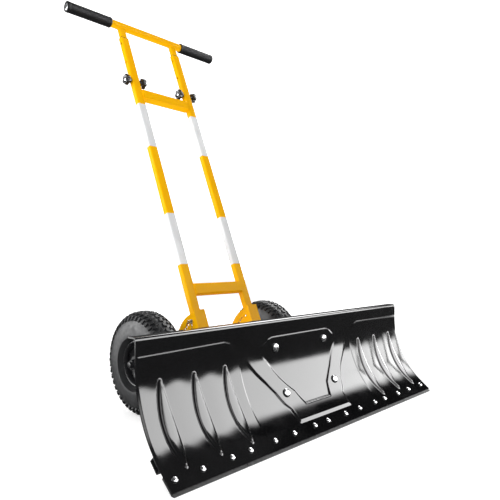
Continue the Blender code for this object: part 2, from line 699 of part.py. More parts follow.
def make_t_handle(material):
    """Welded T-handle: round cross bar on two rectangular tubes that slide in the uprights."""
    bar = bmesh.new()
    add_rod(bar, T_BAR_R, (-T_BAR_HALF, 0, T_BAR_AT), (T_BAR_HALF, 0, T_BAR_AT), 24)
    handle = solid("t_handle", bar, material, HANDLE)
    tall = T_BAR_AT - INNER_FOOT
    slot_low = CLAMP_KNOB_AT - EXTENSION - STUD_R - GAP
    slot_high = CLAMP_KNOB_AT + STUD_R + GAP
    for side, word in ((-1, "left"), (1, "right")):
        x = side * FRAME_X
        leg = bmesh.new()
        add_box(leg, (INNER_WIDE, INNER_DEEP, tall), (x, 0, INNER_FOOT + tall / 2))
        join(handle, cutter(f"t_handle_leg_{word}", leg, HANDLE))
        hollow = bmesh.new()
        add_box(hollow, (INNER_WIDE - 2 * INNER_WALL, INNER_DEEP - 2 * INNER_WALL, tall),
                (x, 0, INNER_FOOT + tall / 2 - 0.005))
        cut(handle, cutter(f"t_handle_inside_{word}", hollow, HANDLE))
        slot = bmesh.new()
        add_box(slot, (INNER_WIDE + 0.01, 2 * (STUD_R + GAP), slot_high - slot_low),
                (x, 0, (slot_low + slot_high) / 2))
        cut(handle, cutter(f"t_handle_slot_{word}", slot, HANDLE))
    bore = bmesh.new()
    inner_r = T_BAR_R - INNER_WALL
    add_rod(bore, inner_r, (-T_BAR_HALF - 0.01, 0, T_BAR_AT), (T_BAR_HALF + 0.01, 0, T_BAR_AT), 24)
    cut(handle, cutter("t_handle_bore", bore, HANDLE))


def make_grips(material):
    """Soft sleeves with a closed outer end, pushed over the ends of the T-bar."""
    long = GRIP_TO - GRIP_FROM
    deep = T_BAR_HALF + GAP - GRIP_FROM
    profile = [(0.0, long), (GRIP_R - 0.002, long), (GRIP_R, long - 0.002), (GRIP_R, 0.0015),
               (GRIP_R - 0.0015, 0.0), (T_BAR_R + GAP, 0.0), (T_BAR_R + GAP, deep), (0.0, deep)]
    for side, word in ((-1, "left"), (1, "right")):
        start = HANDLE @ Vector((side * GRIP_FROM, 0, T_BAR_AT))
        turned_part(f"grip_{word}", profile, material, along_x(start, side), 24, closed=False)


def knob_blank(bm):
    """Star knob on its neck, in its own frame: neck foot at z = 0, knob above it."""
    points = 4 * KNOB_LOBES
    rim = []
    for i in range(points):
        turned = 2 * math.pi * i / points
        radius = KNOB_R - 0.0024 * (1 - math.cos(KNOB_LOBES * turned)) / 2
        rim.append((radius * math.cos(turned), radius * math.sin(turned)))
    low = [bm.verts.new((x, y, KNOB_NECK)) for x, y in rim]
    face = bm.faces.new(low)
    grown = bmesh.ops.extrude_face_region(bm, geom=[face])["geom"]
    bmesh.ops.translate(bm, vec=(0, 0, KNOB_THICK),
                        verts=[item for item in grown if isinstance(item, bmesh.types.BMVert)])


def make_knobs(plastic):
    """On each upright, an outer star knob whose stud runs through to an inner star knob."""
    face = UPRIGHT_WIDE / 2 + GAP
    stud = UPRIGHT_WIDE + 2 * GAP + KNOB_NECK * 0.8
    for side, word in ((-1, "left"), (1, "right")):
        for out, kind in ((1, "outer"), (-1, "inner")):
            direction = side * out
            seat = HANDLE @ Vector((side * FRAME_X + direction * face, 0, CLAMP_KNOB_AT))
            place = along_x(seat, direction)
            bm = bmesh.new()
            knob_blank(bm)
            knob = solid(f"clamp_knob_{word}_{kind}", bm, plastic, place)
            neck = bmesh.new()
            add_rod(neck, KNOB_NECK_R, (0, 0, 0), (0, 0, KNOB_NECK + 0.001), 16)
            join(knob, cutter(f"clamp_knob_{word}_{kind}_neck", neck, place))
            shank = bmesh.new()
            if kind == "outer":
                add_rod(shank, STUD_R, (0, 0, -stud), (0, 0, 0.002), 12)
                join(knob, cutter(f"clamp_knob_{word}_stud", shank, place))
            else:
                add_rod(shank, STUD_R + GAP, (0, 0, -0.001), (0, 0, KNOB_NECK), 12)
                cut(knob, cutter(f"clamp_knob_{word}_bore", shank, place))


def make_pivot_bolts(steel):
    """Hex bolt and nut through each bracket and upright."""
    for side, word in ((-1, "left"), (1, "right")):
        place = along_x(HANDLE @ Vector((side * FRAME_X, 0, 0)), side)
        half = PLATE_OUT + GAP
        bm = bmesh.new()
        add_stepped(bm, [(PIVOT_HEAD_R, -half - 0.008, True), (PIVOT_HEAD_R, -half, True), (PIVOT_R, -half, False),
                         (PIVOT_R, half, False), (PIVOT_HEAD_R, half, True), (PIVOT_HEAD_R, half + 0.0065, True)])
        solid(f"pivot_bolt_{word}", bm, steel, place)


def make_lock_pins(steel):
    """Pins through bracket and upright, each with a pull ring in its flat outer end."""
    for side, word in ((-1, "left"), (1, "right")):
        seat = HANDLE @ Vector((side * (FRAME_X + PLATE_OUT + GAP), 0, INDEX_R))
        place = along_x(seat, side)
        deep = 2 * PLATE_OUT + GAP + PIN_PAST_PLATE
        ring_at = PIN_COLLAR + PIN_TAB_LONG * 0.58
        bm = bmesh.new()
        add_stepped(bm, [(PIN_R * 0.6, -deep, False), (PIN_R, -deep + 0.0015, False), (PIN_R, 0, False),
                         (PIN_COLLAR_R, 0, False), (PIN_COLLAR_R, PIN_COLLAR, False)])
        pin = solid(f"lock_pin_{word}", bm, steel, place)
        tab = bmesh.new()
        add_box(tab, (PIN_TAB_HIGH, PIN_TAB_WIDE, PIN_TAB_LONG + 0.001),
                (0, 0, PIN_COLLAR + PIN_TAB_LONG / 2 - 0.0005))
        join(pin, cutter(f"lock_pin_{word}_tab", tab, place))
        eye = bmesh.new()
        add_rod(eye, RING_WIRE_R + 0.0008, (0, -0.01, ring_at), (0, 0.01, ring_at), 12)
        cut(pin, cutter(f"lock_pin_{word}_eye", eye, place))
        make_ring(word, place @ Vector((0, 0, ring_at)), steel)


def make_ring(word, hook, steel):
    """Round ring hanging from the pin's eye, in a plane square to X."""
    bm = bmesh.new()
    sides, wire = 24, 6
    rows = []
    for i in range(sides):
        turned = 2 * math.pi * i / sides
        row = []
        for j in range(wire):
            around = 2 * math.pi * j / wire
            out = RING_R + RING_WIRE_R * math.cos(around)
            row.append(bm.verts.new((RING_WIRE_R * math.sin(around), out * math.sin(turned),
                                     out * math.cos(turned) - RING_R)))
        rows.append(row)
    for i in range(sides):
        for j in range(wire):
            nxt, up = (i + 1) % sides, (j + 1) % wire
            bm.faces.new((rows[i][j], rows[nxt][j], rows[nxt][up], rows[i][up]))
    solid(f"pull_ring_{word}", bm, steel, Matrix.Translation(hook), smooth=True)


# ---- Build --------------------------------------------------------------------------------------
def main():
    clear_scene()
    black = paint("black_gloss_paint", (0.012, 0.012, 0.013), 0.18)
    yellow = paint("yellow_paint", (0.90, 0.47, 0.02), 0.35)
    zinc = paint("zinc_plated_steel", (0.72, 0.73, 0.74), 0.3, 1.0)
    rubber = paint("scraper_rubber", (0.015, 0.015, 0.015), 0.6)
    tyre = paint("tyre_rubber", (0.03, 0.03, 0.032), 0.75)
    plastic = paint("knob_plastic", (0.015, 0.015, 0.016), 0.3)
    foam = paint("grip_rubber", (0.02, 0.02, 0.021), 0.65)
    make_blade(black)
    make_strips(rubber)
    make_clamp_bar(black)
    make_blade_bolts(zinc)
    make_stiffener(black)
    make_mounts(black)
    make_push_arms(yellow)
    make_cross_tubes(yellow)
    make_index_brackets(yellow)
    make_axle(zinc, yellow)
    make_wheels(tyre, black, zinc)
    make_uprights(yellow)
    make_crossbars(yellow)
    make_t_handle(yellow)
    make_grips(foam)
    make_knobs(plastic)
    make_pivot_bolts(zinc)
    make_lock_pins(zinc)


main()
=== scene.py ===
"""Looks of the wheeled snow pusher: finished pieces, materials, stage and camera around the CAD part."""

import json
import math

import bmesh
import bpy
import numpy as np
from mathutils import Matrix, Quaternion, Vector


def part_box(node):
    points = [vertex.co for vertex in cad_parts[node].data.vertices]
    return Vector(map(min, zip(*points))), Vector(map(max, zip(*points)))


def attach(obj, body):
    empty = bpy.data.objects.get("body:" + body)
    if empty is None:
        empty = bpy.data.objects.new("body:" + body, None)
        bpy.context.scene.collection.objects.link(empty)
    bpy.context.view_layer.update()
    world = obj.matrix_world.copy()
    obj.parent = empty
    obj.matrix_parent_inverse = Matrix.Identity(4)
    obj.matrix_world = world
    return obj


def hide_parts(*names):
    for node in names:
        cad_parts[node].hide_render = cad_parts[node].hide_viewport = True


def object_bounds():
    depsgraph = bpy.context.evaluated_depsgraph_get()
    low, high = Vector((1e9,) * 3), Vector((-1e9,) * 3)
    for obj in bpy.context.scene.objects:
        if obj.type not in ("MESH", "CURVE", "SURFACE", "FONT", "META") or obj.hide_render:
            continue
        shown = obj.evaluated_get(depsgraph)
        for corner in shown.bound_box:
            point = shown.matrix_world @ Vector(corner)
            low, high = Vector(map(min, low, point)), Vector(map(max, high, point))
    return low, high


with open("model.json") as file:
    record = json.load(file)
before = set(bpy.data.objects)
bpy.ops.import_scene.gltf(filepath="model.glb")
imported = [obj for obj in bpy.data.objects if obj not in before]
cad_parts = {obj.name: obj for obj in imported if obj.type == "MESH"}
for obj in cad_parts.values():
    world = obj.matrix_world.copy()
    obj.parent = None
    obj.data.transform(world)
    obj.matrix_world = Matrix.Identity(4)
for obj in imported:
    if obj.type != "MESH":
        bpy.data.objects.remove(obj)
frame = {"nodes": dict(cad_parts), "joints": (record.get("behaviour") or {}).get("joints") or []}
SCENE = bpy.context.scene
CAD_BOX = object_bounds()

# ---- Places taken from the frame ----
JOINTS = {joint["name"]: joint for joint in frame["joints"]}
PIVOT = Vector(JOINTS["handle_tilt"]["pos_m"])
ALONG = Vector(JOINTS["handle_height"]["axis"])
LEAN = math.atan2(ALONG.y, ALONG.z)
HANDLE = Matrix.Translation(PIVOT) @ Matrix.Rotation(-LEAN, 4, "X")
AXLE = Vector(JOINTS["wheel_left"]["pos_m"])
WHEEL_X = abs(AXLE.x)
WHEEL_R = (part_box("tyre_left")[1].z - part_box("tyre_left")[0].z) / 2
TYRE_HALF = (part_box("tyre_left")[1].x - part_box("tyre_left")[0].x) / 2
LIP_Y = CAD_BOX[0].y
BLADE_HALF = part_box("blade")[1].x
FRAME_X = (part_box("upright_right")[0].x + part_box("upright_right")[1].x) / 2
SIDES = ((-1, "left"), (1, "right"))

# ---- Driving dimensions of the finished pieces, in metres, as in the CAD ----
SHEET = 0.0025
LIP_SLOPE = math.radians(40.0)
LIP_CUT = 0.010
STRAIGHT = 0.043
ARC_RADIUS = 0.215
ARC_TURN = math.radians(51.5)
TOP_STRAIGHT = 0.039
TOP_BEND = 0.007
TOP_FLANGE = 0.016
GAP = 0.0003
STRIP_THICK = 0.005
STRIP_TOP = 0.042
STRIP_LENGTH = 0.248
STRIP_BOLTS = (0.024, 0.094, 0.154, 0.224)
EDGE_BOLT_AT = 0.030
MOUNT_BOLTS_AT = (("lower", 0.117), ("upper", 0.220))
MOUNT_X = 0.091
EDGE_BOLT = (0.0056, 0.0032, 0.003, 0.0115)   # head radius, head height, shank radius, grip
MOUNT_BOLT = (0.0095, 0.0050, 0.004, 0.0084)
TUBE_WIDE, TUBE_DEEP, TUBE_ROUND, TUBE_WALL = 0.027, 0.016, 0.0028, 0.0018
INNER_WIDE, INNER_DEEP, INNER_ROUND, INNER_WALL = 0.0224, 0.0114, 0.002, 0.0015
UPRIGHT_FOOT, UPRIGHT_TOP = 0.012, 0.989
BANDS = ((0.2286, 0.381), (0.5966, 0.7435))
LOWER_BAR_AT, UPPER_BAR_AT, BAR_HIGH, BAR_DEEP = 0.157, 0.7825, 0.030, 0.024
HEIGHT_HOLES_AT = (0.8985, 0.968)
KNOB_AT = 0.829
T_BAR_AT, T_BAR_R, T_BAR_HALF = 1.041, 0.012, 0.271
INNER_FOOT, EXTENSION = 0.680, 0.130
GRIP_R, GRIP_FROM, GRIP_TO = 0.0158, 0.134, 0.277
INDEX_R, INDEX_HOLE_R, INDEX_STEP, INDEX_COUNT = 0.071, 0.0031, math.radians(7.5), 7
PLATE_INSIDE, PLATE_THICK, PLATE_R = 0.030, 0.003, 0.091
WEB_FRONT, WEB_TOP = 0.0185, 0.097
PIVOT_HOLE_R, PIN_HOLE_R, HEIGHT_HOLE_R, AXLE_HOLE_R = 0.0053, 0.0032, 0.0034, 0.0083
CUT = 0.03   # how far a hole's cutter reaches to each side
ARM_HIGH = 0.030
FLOOR_LINE_Y = LIP_Y - (SHEET + GAP) / math.sin(LIP_SLOPE)
ARC_LENGTH = ARC_RADIUS * ARC_TURN
BLADE_TOP_AT = STRAIGHT + ARC_LENGTH + TOP_STRAIGHT
FOLD_AT = BLADE_TOP_AT + TOP_BEND   # where the pressed shapes are measured from, downwards


# ---- Materials ----
def ramp(tree, value, source, target, kind="SMOOTHSTEP"):
    """Takes a node's value from one range to another, kept inside it."""
    node = tree.nodes.new("ShaderNodeMapRange")
    node.interpolation_type = kind
    node.inputs["From Min"].default_value, node.inputs["From Max"].default_value = source
    node.inputs["To Min"].default_value, node.inputs["To Max"].default_value = target
    tree.links.new(value, node.inputs["Value"])
    return node.outputs["Result"]


class Shade:
    """A node material built up around one Principled shader, in object coordinates (metres)."""

    def __init__(self, name, colour, roughness, metallic=0.0, **sockets):
        self.material = bpy.data.materials.new(name)
        self.material.use_nodes = True
        self.tree = self.material.node_tree
        self.shader = self.tree.nodes["Principled BSDF"]
        self.shader.inputs["Base Color"].default_value = (*colour, 1.0)
        self.shader.inputs["Roughness"].default_value = roughness
        self.shader.inputs["Metallic"].default_value = metallic
        for socket, value in sockets.items():
            self.shader.inputs[socket.replace("_", " ")].default_value = value
        self.where = self.tree.nodes.new("ShaderNodeTexCoord").outputs["Object"]
        self.bump_before = None

    def link(self, source, target):
        self.tree.links.new(source, target)

    def texture(self, kind, scale, stretch=(1, 1, 1)):
        """A texture node in object coordinates; scale is in cycles per metre."""
        mapping = self.tree.nodes.new("ShaderNodeMapping")
        mapping.inputs["Scale"].default_value = stretch
        self.link(self.where, mapping.inputs["Vector"])
        node = self.tree.nodes.new(kind)
        node.inputs["Scale"].default_value = scale
        self.link(mapping.outputs["Vector"], node.inputs["Vector"])
        return node

    def noise(self, scale, detail=4.0, stretch=(1, 1, 1)):
        node = self.texture("ShaderNodeTexNoise", scale, stretch)
        node.inputs["Detail"].default_value = detail
        return node.outputs["Fac"]

    def cells(self, scale, feature="F1"):
        node = self.texture("ShaderNodeTexVoronoi", scale)
        node.feature = feature
        return node.outputs["Distance"]

    def spread(self, value, low, high, to_low, to_high):
        return ramp(self.tree, value, (low, high), (to_low, to_high), "LINEAR")

    def vary_roughness(self, value, low, high):
        self.link(self.spread(value, 0.35, 0.65, low, high), self.shader.inputs["Roughness"])
        return self

    def mix(self, share, other):
        """Mixes another colour into the base colour by a 0-1 value."""
        node = self.tree.nodes.new("ShaderNodeMix")
        node.data_type = "RGBA"
        sockets = [socket for socket in node.inputs if socket.type == "RGBA"]
        base = self.shader.inputs["Base Color"]
        if base.is_linked:
            self.link(base.links[0].from_socket, sockets[0])
        else:
            sockets[0].default_value = base.default_value
        sockets[1].default_value = (*other, 1.0)
        self.link(share, node.inputs["Factor"])
        result = [socket for socket in node.outputs if socket.type == "RGBA"][0]
        self.link(result, base)
        return self

    def bump(self, value, height):
        """Raises the surface by value times height, in metres."""
        node = self.tree.nodes.new("ShaderNodeBump")
        node.inputs["Distance"].default_value = height
        self.link(value, node.inputs["Height"])
        if self.bump_before is not None:
            self.link(self.bump_before, node.inputs["Normal"])
        self.bump_before = node.outputs["Normal"]
        self.link(self.bump_before, self.shader.inputs["Normal"])
        return self

    def painted_crevice_shade(self, other, reach, amount):
        """Painted shade: another colour where the piece's own surfaces stand within reach, as inside a tube.
        """
        node = self.tree.nodes.new("ShaderNodeAmbientOcclusion")
        node.samples = 8
        node.only_local = True
        node.inputs["Distance"].default_value = reach
        return self.mix(self.spread(node.outputs["AO"], 0.12, 0.55, amount, 0.0), other)

    def mottle(self, value, low, high, amount, other):
        """Patches of another colour, up to amount, where a pattern rises from low to high."""
        return self.mix(self.spread(value, low, high, 0.0, amount), other)


def black_paint():
    made = Shade("black_gloss_paint", (0.0045, 0.0045, 0.005), 0.10, Specular_IOR_Level=0.55)
    made.mottle(made.noise(9.0), 0.4, 0.7, 0.35, (0.009, 0.009, 0.010))
    made.vary_roughness(made.noise(26.0, 5.0), 0.075, 0.125)
    made.bump(made.noise(420.0, 2.0), 0.00002)
    made.bump(made.noise(7.0, 1.0), 0.00012)
    return made.material


def frame_black_paint():
    made = Shade("black_frame_paint", (0.008, 0.008, 0.009), 0.28, Specular_IOR_Level=0.5)
    made.mottle(made.noise(30.0), 0.45, 0.75, 0.4, (0.018, 0.018, 0.019))
    made.vary_roughness(made.noise(60.0, 5.0), 0.22, 0.36)
    made.bump(made.noise(520.0, 2.0), 0.00006)
    return made.material


def yellow_paint():
    made = Shade("yellow_paint", (0.90, 0.435, 0.002), 0.20, Specular_IOR_Level=0.025)
    made.mottle(made.noise(6.0, 3.0), 0.35, 0.7, 0.35, (0.96, 0.51, 0.004))
    made.mottle(made.noise(240.0, 3.0), 0.62, 0.75, 0.25, (0.80, 0.35, 0.002))
    # painted shade: dark brown where the piece's own surfaces shut it in, as inside the tubes and between the
    # bracket plates
    made.painted_crevice_shade((0.05, 0.016, 0.001), 0.035, 0.95)
    made.vary_roughness(made.noise(80.0, 4.0), 0.17, 0.26)
    made.bump(made.noise(650.0, 2.0), 0.00003)
    return made.material


def reflective_film():
    """Silver reflective film: tiny prism cells under a clear face."""
    made = Shade("reflective_film", (0.70, 0.705, 0.712), 0.34, 0.0, Specular_IOR_Level=0.10)
    cell = made.cells(340.0, "DISTANCE_TO_EDGE")
    made.mix(made.spread(cell, 0.0, 0.10, 0.35, 0.0), (0.58, 0.585, 0.60))
    made.mottle(made.noise(30.0, 3.0, (1, 1, 0.06)), 0.45, 0.6, 0.8, (0.80, 0.805, 0.81))
    made.bump(cell, 0.00006)
    return made.material


def bright_steel(name, colour, roughness, duller, scales, roughest):
    """Plated steel; scales are those of its patches, its wear and its grain."""
    made = Shade(name, colour, roughness, 1.0)
    made.mottle(made.noise(scales[0]), 0.4, 0.7, 0.5, duller)
    made.vary_roughness(made.noise(scales[1], 5.0), 0.17, roughest)
    made.bump(made.noise(scales[2], 3.0), 0.00003)
    return made.material


def tyre_rubber():
    made = Shade("tyre_rubber", (0.012, 0.0123, 0.0132), 0.44, Specular_IOR_Level=0.42)
    made.mottle(made.noise(22.0, 5.0), 0.4, 0.7, 0.7, (0.028, 0.0285, 0.030))
    made.mottle(made.noise(300.0, 3.0), 0.55, 0.75, 0.4, (0.010, 0.010, 0.011))
    made.vary_roughness(made.noise(90.0, 4.0), 0.38, 0.54)
    made.bump(made.noise(700.0, 4.0), 0.00012)
    return made.material


def strip_rubber():
    made = Shade("scraper_rubber", (0.012, 0.012, 0.012), 0.55)
    made.mottle(made.noise(50.0, 5.0, (0.15, 1, 1)), 0.45, 0.75, 0.6, (0.030, 0.030, 0.031))
    made.vary_roughness(made.noise(160.0), 0.45, 0.65)
    made.bump(made.noise(900.0, 3.0), 0.00010)
    return made.material


def knob_plastic():
    made = Shade("knob_plastic", (0.010, 0.010, 0.011), 0.26, Specular_IOR_Level=0.55)
    made.mottle(made.noise(200.0), 0.45, 0.7, 0.5, (0.022, 0.022, 0.024))
    made.vary_roughness(made.noise(350.0), 0.20, 0.34)
    made.bump(made.noise(1400.0, 2.0), 0.00004)
    return made.material


def grip_foam():
    made = Shade("grip_rubber", (0.006, 0.006, 0.007), 0.50, Specular_IOR_Level=0.28)
    made.mottle(made.noise(420.0, 3.0), 0.5, 0.72, 0.6, (0.018, 0.018, 0.020))
    made.vary_roughness(made.noise(240.0), 0.42, 0.58)
    made.bump(made.cells(1100.0), 0.00016)
    return made.material


BLACK, FRAME_BLACK, YELLOW = black_paint(), frame_black_paint(), yellow_paint()
FILM, TYRE, STRIP, KNOB, GRIP = reflective_film(), tyre_rubber(), strip_rubber(), knob_plastic(), grip_foam()
ZINC = bright_steel("zinc_plated_steel", (0.70, 0.71, 0.72), 0.24, (0.56, 0.57, 0.60), (140, 300, 900), 0.34)
BOLT = bright_steel("bolt_steel", (0.70, 0.70, 0.71), 0.22, (0.56, 0.57, 0.59), (200, 420, 1100), 0.30)


# ---- Mesh helpers ----
def new_object(name, bm, material=None):
    """The mesh as an object in the scene. It uses up the bmesh."""
    mesh = bpy.data.meshes.new(name)
    bm.to_mesh(mesh)
    bm.free()
    if material is not None:
        mesh.materials.append(material)
    obj = bpy.data.objects.new(name, mesh)
    SCENE.collection.objects.link(obj)
    return obj


def soften(obj, width, sharp, segments=2):
    """Rounds the edges sharper than an angle in degrees."""
    rounding = obj.modifiers.new("soften", "BEVEL")
    rounding.width = width
    rounding.segments = segments
    rounding.limit_method = "ANGLE"
    rounding.angle_limit = math.radians(sharp)
    rounding.harden_normals = True


def piece(name, bm, material, body, replaces=(), matrix=None, bevel=0.0, sharp=35.0, segments=2):
    """A finished piece that rides on a CAD body and stands for the named nodes."""
    if matrix is not None:
        bm.transform(matrix)
    bmesh.ops.recalc_face_normals(bm, faces=bm.faces)
    obj = new_object(name, bm, material)
    obj.data.shade_smooth()
    if bevel:
        soften(obj, bevel, sharp, segments)
    else:
        obj.data.set_sharp_from_angle(angle=math.radians(sharp))
    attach(obj, body)
    if replaces:
        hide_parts(*replaces)


def outward(point, side):
    """Frame with local +Z outwards along X on the given side."""
    return Matrix.Translation(point) @ Matrix.Rotation(side * math.pi / 2, 4, "Y")


def full_turn(steps):
    return [2 * math.pi * i / steps for i in range(steps)]


def skin(bm, low, high):
    """Faces between two closed rings of as many points."""
    for i in range(len(low)):
        j = (i + 1) % len(low)
        bm.faces.new((low[i], low[j], high[j], high[i]))


def revolve(bm, profile, steps, closed=False):
    """Turns (radius, height) points about Z. Points on the axis close the body."""
    rings = []
    for radius, height in profile:
        if radius < 1e-7:
            rings.append([bm.verts.new((0, 0, height))])
            continue
        rings.append([bm.verts.new((radius * math.cos(t), radius * math.sin(t), height))
                      for t in full_turn(steps)])
    for low, high in zip(rings, rings[1:] + rings[:1] if closed else rings[1:]):
        if len(low) == len(high):
            if len(low) > 1:
                skin(bm, low, high)
            continue
        for i in range(steps):
            j = (i + 1) % steps
            bm.faces.new((low[0], high[i], high[j]) if len(low) == 1 else (low[i], low[j], high[0]))


def rounded_ring(wide, deep, radius, segments=5):
    """Outline of a rounded rectangle in the XY plane."""
    points = []
    for cx, cy, start in ((1, 1, 0), (-1, 1, 90), (-1, -1, 180), (1, -1, 270)):
        for i in range(segments + 1):
            angle = math.radians(start + 90 * i / segments)
            points.append((cx * (wide / 2 - radius) + radius * math.cos(angle),
                           cy * (deep / 2 - radius) + radius * math.sin(angle)))
    return points


def rounded_tube(bm, wide, deep, radius, wall, low, high, lip=0.0004):
    """Hollow rounded-rectangle tube along Z with softened ends."""
    outer = rounded_ring(wide, deep, radius)
    soft = rounded_ring(wide - 2 * lip, deep - 2 * lip, max(radius - lip, 0.0002))
    inner = rounded_ring(wide - 2 * wall, deep - 2 * wall, max(radius - wall, 0.0004))
    rows = [(soft, low), (outer, low + lip), (outer, high - lip), (soft, high), (inner, high), (inner, low)]
    rings = [[bm.verts.new((x, y, z)) for x, y in ring] for ring, z in rows]
    for first, second in zip(rings, rings[1:] + rings[:1]):
        skin(bm, first, second)


def add_box(bm, size, centre):
    bmesh.ops.create_cube(bm, size=1.0, matrix=Matrix.Translation(centre) @ Matrix.Diagonal((*size, 1.0)))


def add_rod(bm, radius, start, end, sides=24):
    start, end = Vector(start), Vector(end)
    along = end - start
    turn = along.to_track_quat("Z", "Y").to_matrix().to_4x4()
    bmesh.ops.create_cone(bm, cap_ends=True, segments=sides, radius1=radius, radius2=radius,
                          depth=along.length, matrix=Matrix.Translation((start + end) / 2) @ turn)


def add_prism(bm, outline, x_from, x_to):
    low = [bm.verts.new((x_from, y, z)) for y, z in outline]
    grown = bmesh.ops.extrude_face_region(bm, geom=[bm.faces.new(low)])["geom"]
    bmesh.ops.translate(bm, vec=(x_to - x_from, 0, 0),
                        verts=[item for item in grown if isinstance(item, bmesh.types.BMVert)])


def carve(bm, cutters, name, crossing=False):
    """bm with the cutters taken out, as a new bmesh; crossing is set where the cutters cross each other."""
    objects = []
    for label, source in (("body", bm), ("cutters", cutters)):
        bmesh.ops.recalc_face_normals(source, faces=source.faces)
        objects.append(new_object(f"{name}_{label}", source))
    modifier = objects[0].modifiers.new("carve", "BOOLEAN")
    modifier.operation = "DIFFERENCE"
    modifier.solver = "EXACT"
    modifier.use_self = crossing
    modifier.object = objects[1]
    shown = objects[0].evaluated_get(bpy.context.evaluated_depsgraph_get())
    made = bmesh.new()
    made.from_mesh(shown.to_mesh())
    shown.to_mesh_clear()
    bmesh.ops.remove_doubles(made, verts=made.verts, dist=1e-6)
    for obj in objects:
        bpy.data.objects.remove(obj)
    return made


def arc(centre, radius, start, end, count):
    """Points in the (y, z) plane; angles run from +z towards +y."""
    return [(centre[0] + radius * math.sin(start + (end - start) * i / count),
             centre[1] + radius * math.cos(start + (end - start) * i / count)) for i in range(count + 1)]


# ---- The blade ----
def blade_frame(at):
    """(y, z, slope) of the front face, a distance above the floor line along the sheet. Takes arrays."""
    at = np.asarray(at, float)
    straight = np.minimum(at, STRAIGHT)
    slope = LIP_SLOPE + np.clip((at - STRAIGHT) / ARC_RADIUS, 0.0, ARC_TURN)
    beyond = np.maximum(at - STRAIGHT - ARC_LENGTH, 0.0)
    y = FLOOR_LINE_Y + straight * math.cos(LIP_SLOPE) + ARC_RADIUS * (np.sin(slope) - math.sin(LIP_SLOPE))
    z = straight * math.sin(LIP_SLOPE) + ARC_RADIUS * (math.cos(LIP_SLOPE) - np.cos(slope))
    return y + beyond * np.cos(slope), z + beyond * np.sin(slope), slope


def behind_blade(at, depth=0.0):
    y, z, slope = (float(value) for value in blade_frame(at))
    return y + depth * math.sin(slope), z - depth * math.cos(slope)


def blade_turn(at):
    slope = float(blade_frame(at)[2])
    return Vector((0.0, -math.sin(slope), math.cos(slope))).to_track_quat("Z", "X").to_matrix().to_4x4()


def smooth(value, low, high):
    share = np.clip((value - low) / (high - low), 0.0, 1.0)
    return share * share * (3 - 2 * share)


def inside_distance(x, s, polygon):
    """Distance to a closed polygon's outline, positive inside."""
    best = np.full(x.shape, 1e9)
    odd = np.zeros(x.shape, bool)
    for (ax, ay), (bx, by) in zip(polygon, polygon[1:] + polygon[:1]):
        dx, dy = bx - ax, by - ay
        share = np.clip(((x - ax) * dx + (s - ay) * dy) / (dx * dx + dy * dy), 0, 1)
        best = np.minimum(best, np.hypot(x - ax - share * dx, s - ay - share * dy))
        crosses = (ay > s) != (by > s)
        with np.errstate(divide="ignore", invalid="ignore"):
            odd ^= crosses & (x < ax + (s - ay) * dx / (dy if dy else 1e-12))
    return np.where(odd, best, -best)


def mirrored(half_outline):
    """A closed outline from its right-hand half, top to bottom."""
    return half_outline + [(-x, s) for x, s in reversed(half_outline)]


# Distances across (x) and down from the blade's top edge (s), in metres
BAND_OUTER = mirrored([(0.200, 0.060), (0.181, 0.090), (0.163, 0.113), (0.143, 0.136), (0.125, 0.160),
                       (0.112, 0.188), (0.101, 0.202), (0.097, 0.237)])
BAND_INNER = mirrored([(0.144, 0.060), (0.130, 0.078), (0.114, 0.100), (0.094, 0.128), (0.074, 0.150),
                       (0.060, 0.164), (0.052, 0.182), (0.045, 0.197)])
SIDE_PANEL = [(0.470, 0.031), (0.246, 0.028), (0.228, 0.033), (0.205, 0.060), (0.181, 0.090), (0.163, 0.113),
              (0.163, 0.130), (0.470, 0.130)]
CENTRE_PANEL = mirrored([(0.102, 0.034), (0.116, 0.038), (0.134, 0.052), (0.138, 0.070), (0.130, 0.078),
                         (0.114, 0.100), (0.114, 0.130)])
RIBS = (0.247, 0.328, 0.408)
RIB_TOP, RIB_FOOT, RIB_HIGH, RIB_HALF, RIB_TIP_HALF, RIB_CROWN = 0.079, 0.243, 0.0022, 0.0150, 0.0034, 0.0020
BAND_HIGH, PANEL_HIGH, SWELL_HIGH = 0.0027, 0.00118, 0.0011
GRID_ACROSS, GRID_DOWN = 515, 172


def relief(x, s):
    """How far the pressed shapes stand in front of the plain sheet."""
    band = smooth(inside_distance(x, s, BAND_OUTER), -0.0012, 0.0064)
    band *= 1 - smooth(inside_distance(x, s, BAND_INNER), -0.0044, 0.0008)
    height = BAND_HIGH * band * smooth(s, 0.062, 0.128)
    fade = 1 - smooth(s, 0.046, 0.084)
    for side in (-1, 1):
        panel = inside_distance(side * x, s, SIDE_PANEL)
        height += PANEL_HIGH * smooth(panel, 0.0, 0.0085) * fade
    height += PANEL_HIGH * smooth(inside_distance(x, s, CENTRE_PANEL), 0.0, 0.0075) * fade
    down = np.clip((s - RIB_TOP) / (RIB_FOOT - RIB_TOP), 0, 1)
    half = RIB_TIP_HALF + (RIB_HALF - RIB_TIP_HALF) * np.sin(np.pi * down ** 1.12) ** 0.85
    half = np.where(down > 0.6, half - 0.0016 * smooth(down, 0.7, 1.0), half)
    ends = smooth(s, RIB_TOP - 0.001, RIB_TOP + 0.005) * (1 - smooth(s, RIB_FOOT - 0.008, RIB_FOOT + 0.001))
    for at in RIBS:
        for side in (-1, 1):
            inside = half - np.abs(x - side * at)
            edge = smooth(inside, -0.0010, 0.0036)
            crown = RIB_CROWN * (1 - (1 - np.clip(inside / np.maximum(half, 0.006), 0, 1)) ** 2)
            height += (RIB_HIGH * edge + crown) * ends
    swell = np.cos(2 * np.pi * (np.abs(x) - RIBS[0]) / (RIBS[1] - RIBS[0]))
    swell = np.where(np.abs(x) > 0.205, swell, 1.0)   # the gentle waves between the ribs stop at the band
    height += SWELL_HIGH * (1 - swell) / 2 * smooth(s, 0.058, 0.108) * (1 - smooth(s, 0.18, 0.25))
    return height


